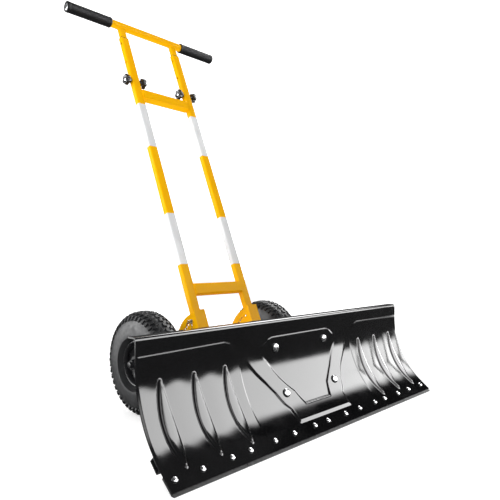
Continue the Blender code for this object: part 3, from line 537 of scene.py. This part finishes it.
def make_blade():
    """Rolled sheet as one fine grid, front and back, with the pressed shapes in both faces."""
    across = np.linspace(-BLADE_HALF, BLADE_HALF, GRID_ACROSS)
    down = np.linspace(LIP_CUT, BLADE_TOP_AT, GRID_DOWN)
    x, at = np.meshgrid(across, down)
    y, z, slope = blade_frame(at)
    height = relief(x, FOLD_AT - at)
    height *= smooth(BLADE_HALF - np.abs(x), 0.0, 0.004)
    top_y, top_z, top_slope = (float(value) for value in blade_frame(BLADE_TOP_AT))
    centre = (top_y + TOP_BEND * math.sin(top_slope), top_z - TOP_BEND * math.cos(top_slope))
    rows = []
    for depth in (0.0, SHEET):
        grid = np.stack([x, y + (depth - height) * np.sin(slope), z - (depth - height) * np.cos(slope)], -1)
        bend = arc(centre, TOP_BEND - depth, -top_slope, 0.0, 10)[1:]
        bend += [(bend[-1][0] + TOP_FLANGE * share, bend[-1][1]) for share in (0.5, 1.0)]
        extra = np.array([[(px, py, pz) for px in across] for py, pz in bend])
        rows.append(np.concatenate([grid, extra]))
    count_down, count_across = rows[0].shape[:2]
    points = np.concatenate([rows[0].reshape(-1, 3), rows[1].reshape(-1, 3)])
    size = count_down * count_across
    index = np.arange(size).reshape(count_down, count_across)
    quads = np.stack([index[:-1, :-1], index[:-1, 1:], index[1:, 1:], index[1:, :-1]], -1).reshape(-1, 4)
    faces = [quads, quads[:, ::-1] + size]
    for edge in (index[0, ::-1], index[-1], index[:, 0], index[::-1, -1]):
        faces.append(np.stack([edge[:-1], edge[1:], edge[1:] + size, edge[:-1] + size], -1))
    mesh = bpy.data.meshes.new("blade_sheet")
    mesh.from_pydata(points.tolist(), [], np.concatenate(faces).tolist())
    bm = bmesh.new()
    bm.from_mesh(mesh)
    piece("blade_sheet", bm, BLACK, "base", ["blade"], sharp=50)


def make_bolts():
    """Low domed bolt heads on the front of the blade."""
    spots = []
    end = -BLADE_HALF + EDGE_BOLT[0]
    for strip in range(4):
        left = BLADE_HALF - (strip + 1) * STRIP_LENGTH
        spots += [left + offset for offset in STRIP_BOLTS if left + offset > end]
    for number, x in enumerate(sorted(spots), 1):
        bolt(f"edge_bolt_{number:02d}", x, EDGE_BOLT_AT, *EDGE_BOLT)
    for side, word in SIDES:
        for place, at in MOUNT_BOLTS_AT:
            bolt(f"mount_bolt_{word}_{place}", side * MOUNT_X, at, *MOUNT_BOLT)


def bolt(node, x, at, head_r, head_h, radius, grip):
    """Carriage bolt: domed head, shank, washer and hex nut."""
    seat = float(relief(np.array(x), np.array(FOLD_AT - at))) + 0.0003
    washer, end = grip + 0.0008, grip + 0.0035
    dome = [(head_r * math.cos(t), seat + head_h * (0.28 + 0.72 * math.sin(t)))
            for t in (math.pi / 2 * i / 8 for i in range(8))]
    bm = bmesh.new()
    revolve(bm, [(0, -end), (radius * 0.8, -end), (radius, -end + 0.0007), (radius, seat), (head_r, seat)]
            + dome + [(0, seat + head_h)], 32)
    place = Matrix.Translation((x, *behind_blade(at))) @ blade_turn(at)
    piece(node + "_head", bm, BOLT, "base", [node], place)
    bm = bmesh.new()
    bore, hex_r, washer_r = radius * 1.05, radius * 1.8, radius * 2.2
    foot = -end - 0.001
    revolve(bm, [(bore, foot), (hex_r, foot), (hex_r, -washer), (bore, -washer)], 6, closed=True)
    revolve(bm, [(bore, -washer), (washer_r, -washer), (washer_r, -grip), (bore, -grip)], 28, closed=True)
    piece(node + "_nut", bm, ZINC, "base", (), place, bevel=0.0003)


def make_strips():
    near, far = SHEET + GAP, SHEET + GAP + STRIP_THICK
    outline = [behind_blade(near / math.tan(LIP_SLOPE), near), behind_blade(STRIP_TOP, near),
               behind_blade(STRIP_TOP, far), behind_blade(far / math.tan(LIP_SLOPE), far)]
    right = BLADE_HALF
    for number in range(4, 0, -1):
        left = max(right - STRIP_LENGTH, -BLADE_HALF)
        bm = bmesh.new()
        add_prism(bm, outline, left + 2 * GAP, right - 2 * GAP)
        piece(f"rubber_strip_{number}", bm, STRIP, "base", [f"scraper_strip_{number}"],
              bevel=0.0005)
        right = left


# ---- Frame pieces that stay as the CAD has them, with softened edges ----
def finish_node(node, material, bevel=0.0006):
    obj = frame["nodes"][node]
    obj.data.materials.clear()
    obj.data.materials.append(material)
    weld = obj.modifiers.new("weld", "WELD")
    weld.merge_threshold = 0.00001
    soften(obj, bevel, 40)
    obj.data.shade_smooth()


def weld_bead(name, points, body, radius=0.0016):
    """A weld bead along a closed loop of points, slightly uneven."""
    bm = bmesh.new()
    rings = []
    for i, point in enumerate(points):
        ahead = (points[(i + 1) % len(points)] - points[i - 1]).normalized()
        side = ahead.cross(Vector((0.31, 0.87, 0.38))).normalized()
        up = ahead.cross(side)
        size = radius * (1 + 0.16 * math.sin(i * 2.1))
        rings.append([bm.verts.new(point + side * size * math.cos(t) + up * size * math.sin(t))
                      for t in full_turn(8)])
    for first, second in zip(rings, rings[1:] + rings[:1]):
        skin(bm, first, second)
    piece(name, bm, YELLOW, body, sharp=80)


def between_corners(outline, count=3):
    """The points of a closed outline, with more between its corners."""
    return [(ax + (bx - ax) * i / count, ay + (by - ay) * i / count)
            for (ax, ay), (bx, by) in zip(outline, outline[1:] + outline[:1]) for i in range(count)]


def make_frame():
    for node in ("clamp_bar", "blade_stiffener", "blade_mount_left", "blade_mount_right"):
        finish_node(node, FRAME_BLACK)
    for node in ("push_arm_left", "push_arm_right", "front_cross_tube"):
        finish_node(node, YELLOW, 0.0012)
    for node in ("axle_tube", "axle_spacer_left", "axle_spacer_right"):
        finish_node(node, YELLOW, 0.0005)
    finish_node("axle", FRAME_BLACK, 0.0004)


# ---- Index brackets ----
def plate_outline():
    along = Vector((math.sin(LEAN), math.cos(LEAN)))
    ahead = Vector((-math.cos(LEAN), math.sin(LEAN)))
    pivot = Vector((PIVOT.y, PIVOT.z))
    foot_z = AXLE.z - ARM_HIGH / 2 - 0.004
    corner = pivot + along * WEB_TOP + ahead * WEB_FRONT
    step_back = pivot + along * WEB_TOP + ahead * (WEB_FRONT - 0.0065)
    rim_from = LEAN - math.asin((WEB_FRONT - 0.0065) / PLATE_R)
    rim = arc(pivot, PLATE_R, rim_from, LEAN + math.radians(57), 44)
    foot_front = corner - along * ((corner.y - foot_z) / math.cos(LEAN))
    axle_foot = arc((AXLE.y, AXLE.z), 0.021, math.radians(75), math.radians(145), 10)
    return [tuple(foot_front), tuple(corner), tuple(step_back)] + rim + axle_foot + [(AXLE.y, foot_z)]


def make_brackets():
    outline = plate_outline()
    web_foot = (AXLE.z + ARM_HIGH / 2 + 0.001 - PIVOT.z) / math.cos(LEAN)
    web_back = -WEB_FRONT + PLATE_THICK
    room = [(-0.2, -0.2), (0.2, -0.2), (0.2, 0.2), (web_back, 0.2), (web_back, web_foot), (-0.2, web_foot)]
    for side, word in SIDES:
        middle = side * FRAME_X
        half = PLATE_INSIDE / 2
        bm = bmesh.new()
        add_prism(bm, outline, middle - half - PLATE_THICK, middle + half + PLATE_THICK)
        inside = bmesh.new()
        add_prism(inside, room, middle - half, middle + half)
        inside.transform(HANDLE)
        bm = carve(bm, inside, "bracket_inside")
        holes = bmesh.new()
        for step in range(INDEX_COUNT):
            y, z = INDEX_R * math.sin(step * INDEX_STEP), INDEX_R * math.cos(step * INDEX_STEP)
            add_rod(holes, INDEX_HOLE_R, (middle - CUT, y, z), (middle + CUT, y, z))
        add_rod(holes, PIVOT_HOLE_R, (middle - CUT, 0, 0), (middle + CUT, 0, 0))
        holes.transform(HANDLE)
        add_rod(holes, AXLE_HOLE_R, (middle - CUT, AXLE.y, AXLE.z), (middle + CUT, AXLE.y, AXLE.z), 32)
        bm = carve(bm, holes, "bracket_holes")
        piece(f"index_bracket_{word}_plate", bm, YELLOW, "base", [f"index_bracket_{word}"],
              bevel=0.0005)


def hexagon(bm, radius, low, high):
    chamfer = 0.0008
    revolve(bm, [(0, low), (radius - chamfer, low), (radius, low + chamfer), (radius, high - chamfer),
                 (radius - chamfer, high), (0, high)], 6)


def make_pivot_bolts():
    half = PLATE_INSIDE / 2 + PLATE_THICK + GAP
    for side, word in SIDES:
        place = outward(HANDLE @ Vector((side * FRAME_X, 0, 0)), side)
        bm = bmesh.new()
        revolve(bm, [(0, -half - 0.008), (0.0045, -half - 0.008), (0.005, -half - 0.0072), (0.005, half),
                     (0, half)], 24)
        hexagon(bm, 0.0090, half, half + 0.0060)
        hexagon(bm, 0.0090, -half - 0.0068, -half)
        piece(f"pivot_bolt_{word}_hex", bm, ZINC, "base", [f"pivot_bolt_{word}"], place)


# ---- Wheels ----
LUG_HIGH = 0.0042
LUGS_ROUND = 46
CASING_FOOT_R, CASING_BORE_R, BEAD_R, BEAD_HALF = 0.066, 0.0583, 0.0521, 0.025
CENTRE_LUGS = ((-0.34, 0.0085, 0.0125), (-0.175, 0.0098, 0.0100), (0.0, 0.0105, 0.0100),
               (0.175, 0.0098, 0.0100), (0.34, 0.0085, 0.0125))   # share across, length round, width
SHOULDER_LUG_WIDE = 0.0150


def casing(across_share):
    """(radius, across) on the tyre's carcass; the share runs from -1, outer bead side, to 1."""
    t = math.pi * (1 + across_share) / 2
    across = -math.copysign(abs(math.cos(t)) ** 0.72, math.cos(t)) * (TYRE_HALF - 0.001)
    radius = CASING_FOOT_R + (WHEEL_R - LUG_HIGH - CASING_FOOT_R) * math.sin(t) ** 0.72
    return radius, across


def make_wheels():
    for side, word in SIDES:
        place = outward(Vector((side * WHEEL_X, AXLE.y, AXLE.z)), side)
        ribbed = []
        for radius, across in (casing(-1 + 2 * i / 40) for i in range(41)):
            ring = 0.0007 * (math.sin(radius * 1500) > 0.2) if 0.070 < radius < 0.104 else 0.0
            ribbed.append((radius, across + math.copysign(ring, across)))
        inside = [(0.072 + 0.047 * math.sin(t), 0.034 * math.cos(t))
                  for t in (math.pi * i / 12 for i in range(13))]
        bead = [(CASING_BORE_R, BEAD_HALF), (BEAD_R, BEAD_HALF), (BEAD_R, BEAD_HALF - 0.009)]
        profile = [(CASING_BORE_R, -BEAD_HALF)] + ribbed + bead + inside
        profile += [(BEAD_R, -BEAD_HALF + 0.009), (BEAD_R, -BEAD_HALF)]
        bm = bmesh.new()
        revolve(bm, profile, 120, closed=True)
        body, tyre = f"wheel_{word}", f"tyre_{word}"
        piece(f"{tyre}_casing", bm, TYRE, body, [tyre], place, sharp=40)
        bm = bmesh.new()
        for i in range(LUGS_ROUND):
            for row, (share, long, wide) in enumerate(CENTRE_LUGS):
                turned = 2 * math.pi * (i + 0.5 * (row % 2)) / LUGS_ROUND
                add_lug(bm, share, turned, long, wide, 0.32 * (-1) ** row)
            for share in (-0.50, 0.50):
                long = 0.0075 if i % 2 else 0.0062
                add_lug(bm, share, 2 * math.pi * (i + 0.5) / LUGS_ROUND, long, SHOULDER_LUG_WIDE, 0.0)
        piece(f"{tyre}_tread", bm, TYRE, body, (), place, bevel=0.0006, segments=1)
        make_rim(side, word, place)


def add_lug(bm, share, turned, long, wide, skew):
    """A tread block standing on the casing, square to it, narrower at its top."""
    radius, across = casing(share)
    ahead_r, ahead_a = casing(share + 0.01)
    tangent = Vector((ahead_r - radius, 0, ahead_a - across)).normalized()
    normal = Vector((tangent.z, 0, -tangent.x))
    if normal.x < 0:
        normal.negate()
    round_way = Vector((0, 1, 0))
    spin = Matrix.Rotation(turned, 4, "Z")
    base = Vector((radius, 0, across))
    corners = []
    for lift, shrink in ((-0.0012, 1.0), (LUG_HIGH - 0.0006, 0.80)):
        for u, v in ((-1, -1), (1, -1), (1, 1), (-1, 1)):
            away = round_way * (u * long + v * wide * skew) + tangent * (v * wide)
            corners.append(bm.verts.new(spin @ (base + away * (shrink / 2) + normal * lift)))
    bm.faces.new(corners[:4])
    bm.faces.new(corners[4:])
    skin(bm, corners[:4], corners[4:])


def make_rim(side, word, place):
    body = f"wheel_{word}"
    seat, half, wall = 0.0517, 0.029, 0.0022
    well = seat - 0.010
    roll = [(seat + 0.0030 + 0.0028 * math.cos(t), half - 0.0024 + 0.0024 * math.sin(t))
            for t in (math.pi / 4 * (3 - i / 2) for i in range(9))]
    profile = [(seat - wall, half - 0.005)] + roll
    profile += [(seat, half - 0.0055), (seat, 0.015), (well, 0.010), (well, -0.010), (seat, -0.015),
                (seat, -half + 0.0055)]
    profile += [(r, -a) for r, a in reversed(roll)]
    profile += [(seat - wall, -half + 0.005), (seat - wall, -0.015), (well - wall, -0.0110),
                (well - wall, -0.004)]
    profile += [(0.036, -0.0035), (0.030, -0.007), (0.024, -0.008), (0.021, -0.010), (0.021, -0.031),
                (0.020, -0.032), (0.0084, -0.032), (0.0084, 0.032), (0.020, 0.032), (0.021, 0.031),
                (0.021, 0.010), (0.024, 0.004), (0.030, 0.003), (0.036, 0.0005)]   # the hub and the disc
    profile += [(well - wall, 0.0005), (well - wall, 0.0110), (seat - wall, 0.015)]
    bm = bmesh.new()
    revolve(bm, profile, 96, closed=True)
    piece(f"rim_{word}_pressing", bm, FRAME_BLACK, body, [f"rim_{word}"], place, sharp=38)
    bm = bmesh.new()
    bolt_circle = 0.0275
    for i in range(4):
        turned = math.pi / 2 * i + 0.4
        before = len(bm.verts)
        hexagon(bm, 0.0048, 0.0036, 0.0078)
        hexagon(bm, 0.0048, -0.0125, -0.0078)
        bm.verts.ensure_lookup_table()
        away = (bolt_circle * math.cos(turned), bolt_circle * math.sin(turned), 0)
        bmesh.ops.translate(bm, vec=away, verts=bm.verts[before:])
    piece(f"rim_{word}_bolts", bm, ZINC, body, (), place)
    bm = bmesh.new()
    revolve(bm, [(0, 0.0), (0.0031, 0.0), (0.0031, 0.016), (0.0026, 0.017), (0.0026, 0.026), (0.0034, 0.0262),
                 (0.0034, 0.032), (0.0028, 0.033), (0, 0.033)], 20)
    lean = Matrix.Translation((0.0, -0.0395, 0.012)) @ Matrix.Rotation(math.radians(-16), 4, "X")
    bm.transform(lean @ Matrix.Scale(0.72, 4))
    piece(f"rim_{word}_valve", bm, STRIP, body, (), place)
    bm = bmesh.new()
    hexagon(bm, 0.0130, 0.0345, 0.0423)
    revolve(bm, [(0.0084, 0.0323), (0.0145, 0.0323), (0.0145, 0.0343), (0.0084, 0.0343)], 40, closed=True)
    piece(f"axle_nut_{word}_hex", bm, FRAME_BLACK, "base", [f"axle_nut_{word}"], place)


# ---- Handle ----
def make_handle():
    for side, word in SIDES:
        placed = HANDLE @ Matrix.Translation((side * FRAME_X, 0, 0))
        bm = bmesh.new()
        rounded_tube(bm, TUBE_WIDE, TUBE_DEEP, TUBE_ROUND, TUBE_WALL, -UPRIGHT_FOOT, UPRIGHT_TOP)
        holes = bmesh.new()
        for at in HEIGHT_HOLES_AT + (KNOB_AT,):
            add_rod(holes, HEIGHT_HOLE_R, (-CUT, 0, at), (CUT, 0, at))
        add_rod(holes, PIN_HOLE_R, (-CUT, 0, INDEX_R), (CUT, 0, INDEX_R))
        add_rod(holes, PIVOT_HOLE_R, (-CUT, 0, 0), (CUT, 0, 0))
        bm = carve(bm, holes, "upright_holes")
        upright = f"upright_{word}"
        piece(f"{upright}_tube", bm, YELLOW, "handle", [upright], placed, sharp=30)
        bm = bmesh.new()
        collar = (TUBE_DEEP - INNER_DEEP) / 2 - 0.0002
        rounded_tube(bm, TUBE_WIDE, TUBE_DEEP, TUBE_ROUND, collar, UPRIGHT_TOP + 0.0001, UPRIGHT_TOP + 0.0016)
        piece(f"{upright}_collar", bm, KNOB, "handle", (), placed, sharp=30)
        film = 0.0002
        for number, (low, high) in enumerate(BANDS, 1):
            bm = bmesh.new()
            rounded_tube(bm, TUBE_WIDE + 2 * film, TUBE_DEEP + 2 * film, TUBE_ROUND + film, film * 0.9, low,
                         high, lip=0.00008)
            name = f"reflective_band_{word}_{number}"
            piece(name, bm, FILM, "handle", (), placed, sharp=30)
    half = FRAME_X - TUBE_WIDE / 2 - GAP
    for name, at in (("lower_crossbar", LOWER_BAR_AT), ("upper_crossbar", UPPER_BAR_AT)):
        bm = bmesh.new()
        rounded_tube(bm, BAR_HIGH, BAR_DEEP, TUBE_ROUND, TUBE_WALL, -half, half)
        place = HANDLE @ outward((0, 0, at), 1)
        piece(f"{name}_tube", bm, YELLOW, "handle", [name], place, sharp=30)
        ring = between_corners(rounded_ring(BAR_HIGH, TUBE_DEEP - 0.001, TUBE_ROUND))
        for side, word in SIDES:
            seam = [place @ Vector((px, py, side * half)) for px, py in ring]
            weld_bead(f"{name}_weld_{word}", seam, "handle")


def make_t_handle():
    bm = bmesh.new()
    inner = T_BAR_R - INNER_WALL
    half = T_BAR_HALF
    revolve(bm, [(T_BAR_R, -half), (T_BAR_R, half), (inner, half), (inner, -half)], 48, closed=True)
    place = HANDLE @ outward((0, 0, T_BAR_AT), 1)
    piece("t_bar_tube", bm, YELLOW, "t_handle", ["t_handle"], place, sharp=30)
    for side, word in SIDES:
        bm = bmesh.new()
        rounded_tube(bm, INNER_WIDE, INNER_DEEP, INNER_ROUND, INNER_WALL, INNER_FOOT, T_BAR_AT - 0.009)
        slot = bmesh.new()
        slot_r = 0.0033
        add_box(slot, (INNER_WIDE + 0.01, 2 * slot_r, EXTENSION), (0, 0, KNOB_AT - EXTENSION / 2))
        for at in (KNOB_AT, KNOB_AT - EXTENSION):
            add_rod(slot, slot_r, (-CUT, 0, at), (CUT, 0, at))
        for at in HEIGHT_HOLES_AT:
            add_rod(slot, HEIGHT_HOLE_R, (-CUT, 0, at), (CUT, 0, at))
        bm = carve(bm, slot, "leg_slot", crossing=True)
        placed = HANDLE @ Matrix.Translation((side * FRAME_X, 0, 0))
        piece(f"t_handle_leg_{word}", bm, YELLOW, "t_handle", (), placed, sharp=30)
        ring = between_corners(rounded_ring(INNER_WIDE, INNER_DEEP, INNER_ROUND))
        seam = [placed @ Vector((px, py, T_BAR_AT - math.sqrt(T_BAR_R ** 2 - py ** 2))) for px, py in ring]
        weld_bead(f"t_handle_weld_{word}", seam, "t_handle", 0.0014)
        make_grip(side, word)


def make_grip(side, word):
    """Moulded sleeve: fine grooves round it, a collar at its inner end and a rounded closed end."""
    long = GRIP_TO - GRIP_FROM
    hole = T_BAR_R + 0.0002
    deep = T_BAR_HALF + 0.0002 - GRIP_FROM
    groove_r, ridge_r = GRIP_R - 0.0011, GRIP_R - 0.0004
    outer = [(GRIP_R - 0.0012, 0.0), (GRIP_R - 0.0002, 0.0010), (GRIP_R, 0.0022), (GRIP_R, 0.0060),
             (GRIP_R - 0.0010, 0.0072)]
    start, end, count = 0.009, long - 0.010, 36
    pitch = (end - start) / count
    for i in range(count):
        low = start + i * pitch
        outer += [(groove_r, low), (ridge_r, low + pitch * 0.25), (ridge_r, low + pitch * 0.72),
                  (groove_r, low + pitch * 0.95)]
    outer += [(GRIP_R, long - 0.0085), (GRIP_R, long - 0.0024), (GRIP_R - 0.0006, long - 0.0008),
              (GRIP_R - 0.0022, long), (0.0105, long), (0.0100, long - 0.0006), (0, long - 0.0006)]
    bm = bmesh.new()
    revolve(bm, [(0, deep), (hole, deep), (hole, 0.0)] + outer, 56)
    place = outward(HANDLE @ Vector((side * GRIP_FROM, 0, T_BAR_AT)), side)
    piece(f"grip_{word}_sleeve", bm, GRIP, "t_handle", [f"grip_{word}"], place, sharp=45)
    bm = bmesh.new()
    revolve(bm, [(0, long - 0.0010), (0.0098, long - 0.0010), (0.0098, long - 0.0004), (0.0088, long),
                 (0.0040, long - 0.0003), (0, long - 0.0003)], 40)
    piece(f"grip_{word}_end_disc", bm, ZINC, "t_handle", (), place, sharp=45)


def make_knobs():
    """Star knobs with rounded lobes, a neck, and the stud's end set in the face."""
    for side, word in SIDES:
        for out, kind in ((1, "outer"), (-1, "inner")):
            way = side * out
            seat = HANDLE @ Vector((side * FRAME_X + way * (TUBE_WIDE / 2 + GAP), 0, KNOB_AT))
            place = outward(seat, way) @ Matrix.Rotation(0.3 + 0.4 * side, 4, "Z")
            bm = bmesh.new()
            star(bm, 0.0160, 0.0085, 0.0205)
            revolve(bm, [(0.0030, 0.0), (0.0065, 0.0), (0.0070, 0.0006), (0.0066, 0.0060), (0.0078, 0.0092),
                         (0.0030, 0.0092)], 32, closed=True)
            node = f"clamp_knob_{word}_{kind}"
            piece(f"{node}_star", bm, KNOB, node, [node], place, sharp=50)
            bm = bmesh.new()
            low = -0.0260 if kind == "outer" else 0.012
            revolve(bm, [(0, low), (0.0029, low), (0.0029, 0.0192), (0.0055, 0.0192), (0.0055, 0.0203),
                         (0.0048, 0.0208), (0, 0.0208)], 28)
            piece(f"{node}_stud", bm, ZINC, node, (), place, sharp=45)


def star(bm, radius, low, high, lobes=6):
    """Star-shaped knob body with soft rims and a dished face."""
    levels = [(0.30, low), (0.86, low), (0.97, low + 0.0012), (1.0, low + 0.0030), (1.0, high - 0.0030),
              (0.965, high - 0.0010), (0.90, high), (0.55, high), (0.46, high - 0.0012),
              (0.30, high - 0.0012)]
    rings = []
    for scale, height in levels:
        ring = []
        for turned in full_turn(lobes * 16):
            depth = 0.0032 * scale if scale > 0.6 else 0.0
            lobe = depth * (0.5 - 0.5 * math.cos(lobes * turned)) ** 1.6
            out = radius * scale - lobe
            ring.append(bm.verts.new((out * math.cos(turned), out * math.sin(turned), height)))
        rings.append(ring)
    for first, second in zip(rings, rings[1:]):
        skin(bm, first, second)
    bm.faces.new(rings[0])
    bm.faces.new(rings[-1])


def make_lock_pins():
    pin_r, head_high, eye_r, ring_r, wire = 0.0028, 0.0040, 0.0019, 0.0113, 0.0011
    half = PLATE_INSIDE / 2 + PLATE_THICK
    deep = 2 * half + GAP + 0.001
    ring_at = head_high + 0.00522
    for side, word in SIDES:
        place = outward(HANDLE @ Vector((side * (FRAME_X + half + GAP), 0, INDEX_R)), side)
        body = f"lock_pin_{word}"
        bm = bmesh.new()
        revolve(bm, [(0, -deep), (0.0016, -deep), (pin_r, -deep + 0.0015), (pin_r, 0), (0.0060, 0),
                     (0.0065, 0.0006), (0.0065, 0.0034), (0.0058, head_high), (0, head_high)], 32)
        piece(f"{body}_shank", bm, ZINC, body, [body], place)
        bm = bmesh.new()
        add_box(bm, (0.0105, 0.0038, 0.0096), (0, 0, head_high + 0.0045))
        eye = bmesh.new()
        add_rod(eye, eye_r, (0, -0.01, ring_at), (0, 0.01, ring_at))
        bm = carve(bm, eye, "pin_eye")
        piece(f"{body}_eye", bm, ZINC, body, (), place, bevel=0.0008, segments=3)
        hook = place @ Vector((0, 0, ring_at))
        bm = bmesh.new()
        section = [(ring_r + wire * math.cos(t), wire * math.sin(t)) for t in full_turn(14)]
        revolve(bm, section, 64, closed=True)
        hung = outward(hook - Vector((0, 0, ring_r)), 1)
        ring = f"pull_ring_{word}"
        piece(f"{ring}_wire", bm, ZINC, ring, [ring], hung)


# ---- Floor, light and camera ----
FLOOR_R, BACKDROP_R = 14.0, 13.5


def plain(name, colour, strength=0.0):
    made = bpy.data.materials.new(name)
    made.use_nodes = True
    inputs = made.node_tree.nodes["Principled BSDF"].inputs
    inputs["Base Color"].default_value = (*colour, 1)
    inputs["Roughness"].default_value = 0.9
    inputs["Specular IOR Level"].default_value = 0.1
    inputs["Emission Color"].default_value = (1, 1, 1, 1)
    inputs["Emission Strength"].default_value = strength
    return made


def area_light(name, place, aim, size, power):
    light = bpy.data.lights.new(name, "AREA")
    light.shape = "RECTANGLE"
    light.size = light.size_y = size
    light.energy = power
    obj = bpy.data.objects.new(name, light)
    obj.location = place
    obj.rotation_mode = "QUATERNION"
    obj.rotation_quaternion = (Vector(aim) - Vector(place)).to_track_quat("-Z", "Y")
    obj.visible_camera = False
    obj.visible_glossy = False
    SCENE.collection.objects.link(obj)


def make_studio():
    bm = bmesh.new()
    bmesh.ops.create_circle(bm, cap_ends=True, segments=64, radius=FLOOR_R)
    floor = stage_piece("floor", bm, floor_white())
    floor.location = (0, 0, -0.0002)
    bm = bmesh.new()
    bmesh.ops.create_uvsphere(bm, u_segments=48, v_segments=24, radius=BACKDROP_R)
    dome = stage_piece("backdrop", bm, plain("backdrop_white", (0.9, 0.9, 0.9), 1.0))
    for obj in (floor, dome):
        obj.visible_glossy = False
    dome.visible_diffuse = False
    dome.visible_shadow = False
    world = bpy.data.worlds.new("studio")
    world.use_nodes = True
    world.node_tree.nodes["Background"].inputs["Color"].default_value = (1, 1, 1, 1)
    world.node_tree.nodes["Background"].inputs["Strength"].default_value = 0.10
    SCENE.world = world
    softbox("softbox_front", (2.15, -2.05, 1.68), (0.77, -0.64, 0.0), (4.1, 2.6), 9.5,
            (0.20, 0.06, 0.24, 0.46), roll=4, slant=1.5)
    softbox("softbox_left", (-2.0, 1.95, 0.85), (-0.72, 0.69, 0.08), (2.6, 2.4), 7.5, (0.2, 0.2, 0.3, 0.5))
    softbox("softbox_back", (2.35, 0.65, 2.45), (0.66, 0.30, 0.68), (2.8, 1.7), 11.0, (0.2, 0.2, 0.3, 0.5))
    softbox("softbox_side", (-0.5, -2.9, 1.6), (-0.08, -0.90, 0.43), (2.2, 2.2), 3.0, (0.3, 0.3, 0.2, 0.5))
    softbox("softbox_crest", (2.50, -0.98, 0.50), (0.95, -0.24, 0.14), (0.9, 0.9), 12.0, (0.3, 0.2, 0.3, 0.5))
    area_light("key_left", (-2.7, -0.2, 1.9), (0, 0, 0.5), 1.8, 75)
    area_light("fill_front", (-1.3, -2.7, 1.5), (0, 0, 0.45), 1.6, 18)
    area_light("rim_right", (2.6, 2.2, 1.6), (0, 0, 0.4), 2.0, 45)
    area_light("top", (0.2, 0.4, 3.2), (0, 0, 0.4), 2.4, 45)
    SCENE.view_settings.view_transform = "Standard"


def stage_piece(name, bm, material):
    obj = new_object(name, bm, material)
    return obj


def floor_white():
    """White that glows a little, more so far from the tool, so that the floor meets the backdrop unseen."""
    material = plain("floor_white", (0.72, 0.72, 0.72), 0.62)
    tree = material.node_tree
    far = tree.nodes.new("ShaderNodeVectorMath")
    far.operation = "LENGTH"
    tree.links.new(tree.nodes.new("ShaderNodeTexCoord").outputs["Object"], far.inputs[0])
    glow = ramp(tree, far.outputs["Value"], (0.9, 2.6), (0.52, 1.0))
    tree.links.new(glow, tree.nodes["Principled BSDF"].inputs["Emission Strength"])
    return material


def softbox(name, place, toward, size, strength, soft, roll=0.0, slant=0.0):
    """A glowing card that the gloss reflects, fading to its ends, its foot and its slanted top.

    soft holds the fades as shares of its size: each end's, the foot's, and where the top's starts and stops.
    """
    bm = bmesh.new()
    bmesh.ops.create_grid(bm, x_segments=1, y_segments=1, size=0.5)
    material = plain(name, (0, 0, 0), strength)
    card = stage_piece(name, bm, material)
    card.location = place
    card.scale = (*size, 1)
    card.rotation_mode = "QUATERNION"
    facing = (-Vector(toward)).to_track_quat("Z", "Y")
    card.rotation_quaternion = facing @ Quaternion((0, 0, 1), math.radians(roll))
    tree = material.node_tree
    split = tree.nodes.new("ShaderNodeSeparateXYZ")
    tree.links.new(tree.nodes.new("ShaderNodeTexCoord").outputs["Object"], split.inputs[0])
    ends, foot, top_from, top_to = soft
    slanted = tree.nodes.new("ShaderNodeMath")
    slanted.operation = "MULTIPLY_ADD"
    tree.links.new(split.outputs["X"], slanted.inputs[0])
    slanted.inputs[1].default_value = -slant
    tree.links.new(split.outputs["Y"], slanted.inputs[2])
    fades = [ramp(tree, split.outputs["X"], (-0.5, -0.5 + ends), (0.0, 1.0)),
             ramp(tree, split.outputs["X"], (0.5 - ends, 0.5), (1.0, 0.0)),
             ramp(tree, split.outputs["Y"], (-0.5, -0.5 + foot), (0.0, 1.0)),
             ramp(tree, slanted.outputs[0], (top_from, top_to), (1.0, 0.0))]
    glow = fades[0]
    for fade in fades[1:] + [None]:
        product = tree.nodes.new("ShaderNodeMath")
        product.operation = "MULTIPLY"
        product.inputs[1].default_value = strength
        tree.links.new(glow, product.inputs[0])
        if fade is not None:
            tree.links.new(fade, product.inputs[1])
        glow = product.outputs[0]
    tree.links.new(glow, tree.nodes["Principled BSDF"].inputs["Emission Strength"])
    card.visible_camera = False
    card.visible_diffuse = False
    card.visible_shadow = False


def make_camera():
    data = bpy.data.cameras.new("camera")
    data.sensor_width = 36.0
    data.lens = 36.683   # this and the place below come from matching the tool's own measures to the view
    camera = bpy.data.objects.new("camera", data)
    SCENE.collection.objects.link(camera)
    camera.location = (-0.95532, -0.66143 + LIP_Y, 0.36294)
    right = Vector((0.69694, -0.7169, -0.01844))
    up = Vector((-0.01169, -0.03707, 0.99924))
    back = -Vector((0.71704, 0.69619, 0.03422))
    camera.rotation_mode = "QUATERNION"
    camera.rotation_quaternion = Matrix((right, up, back)).transposed().to_quaternion()
    SCENE.camera = camera


make_blade()
make_bolts()
make_strips()
make_frame()
make_brackets()
make_pivot_bolts()
make_wheels()
make_handle()
make_t_handle()
make_knobs()
make_lock_pins()
make_studio()
make_camera()
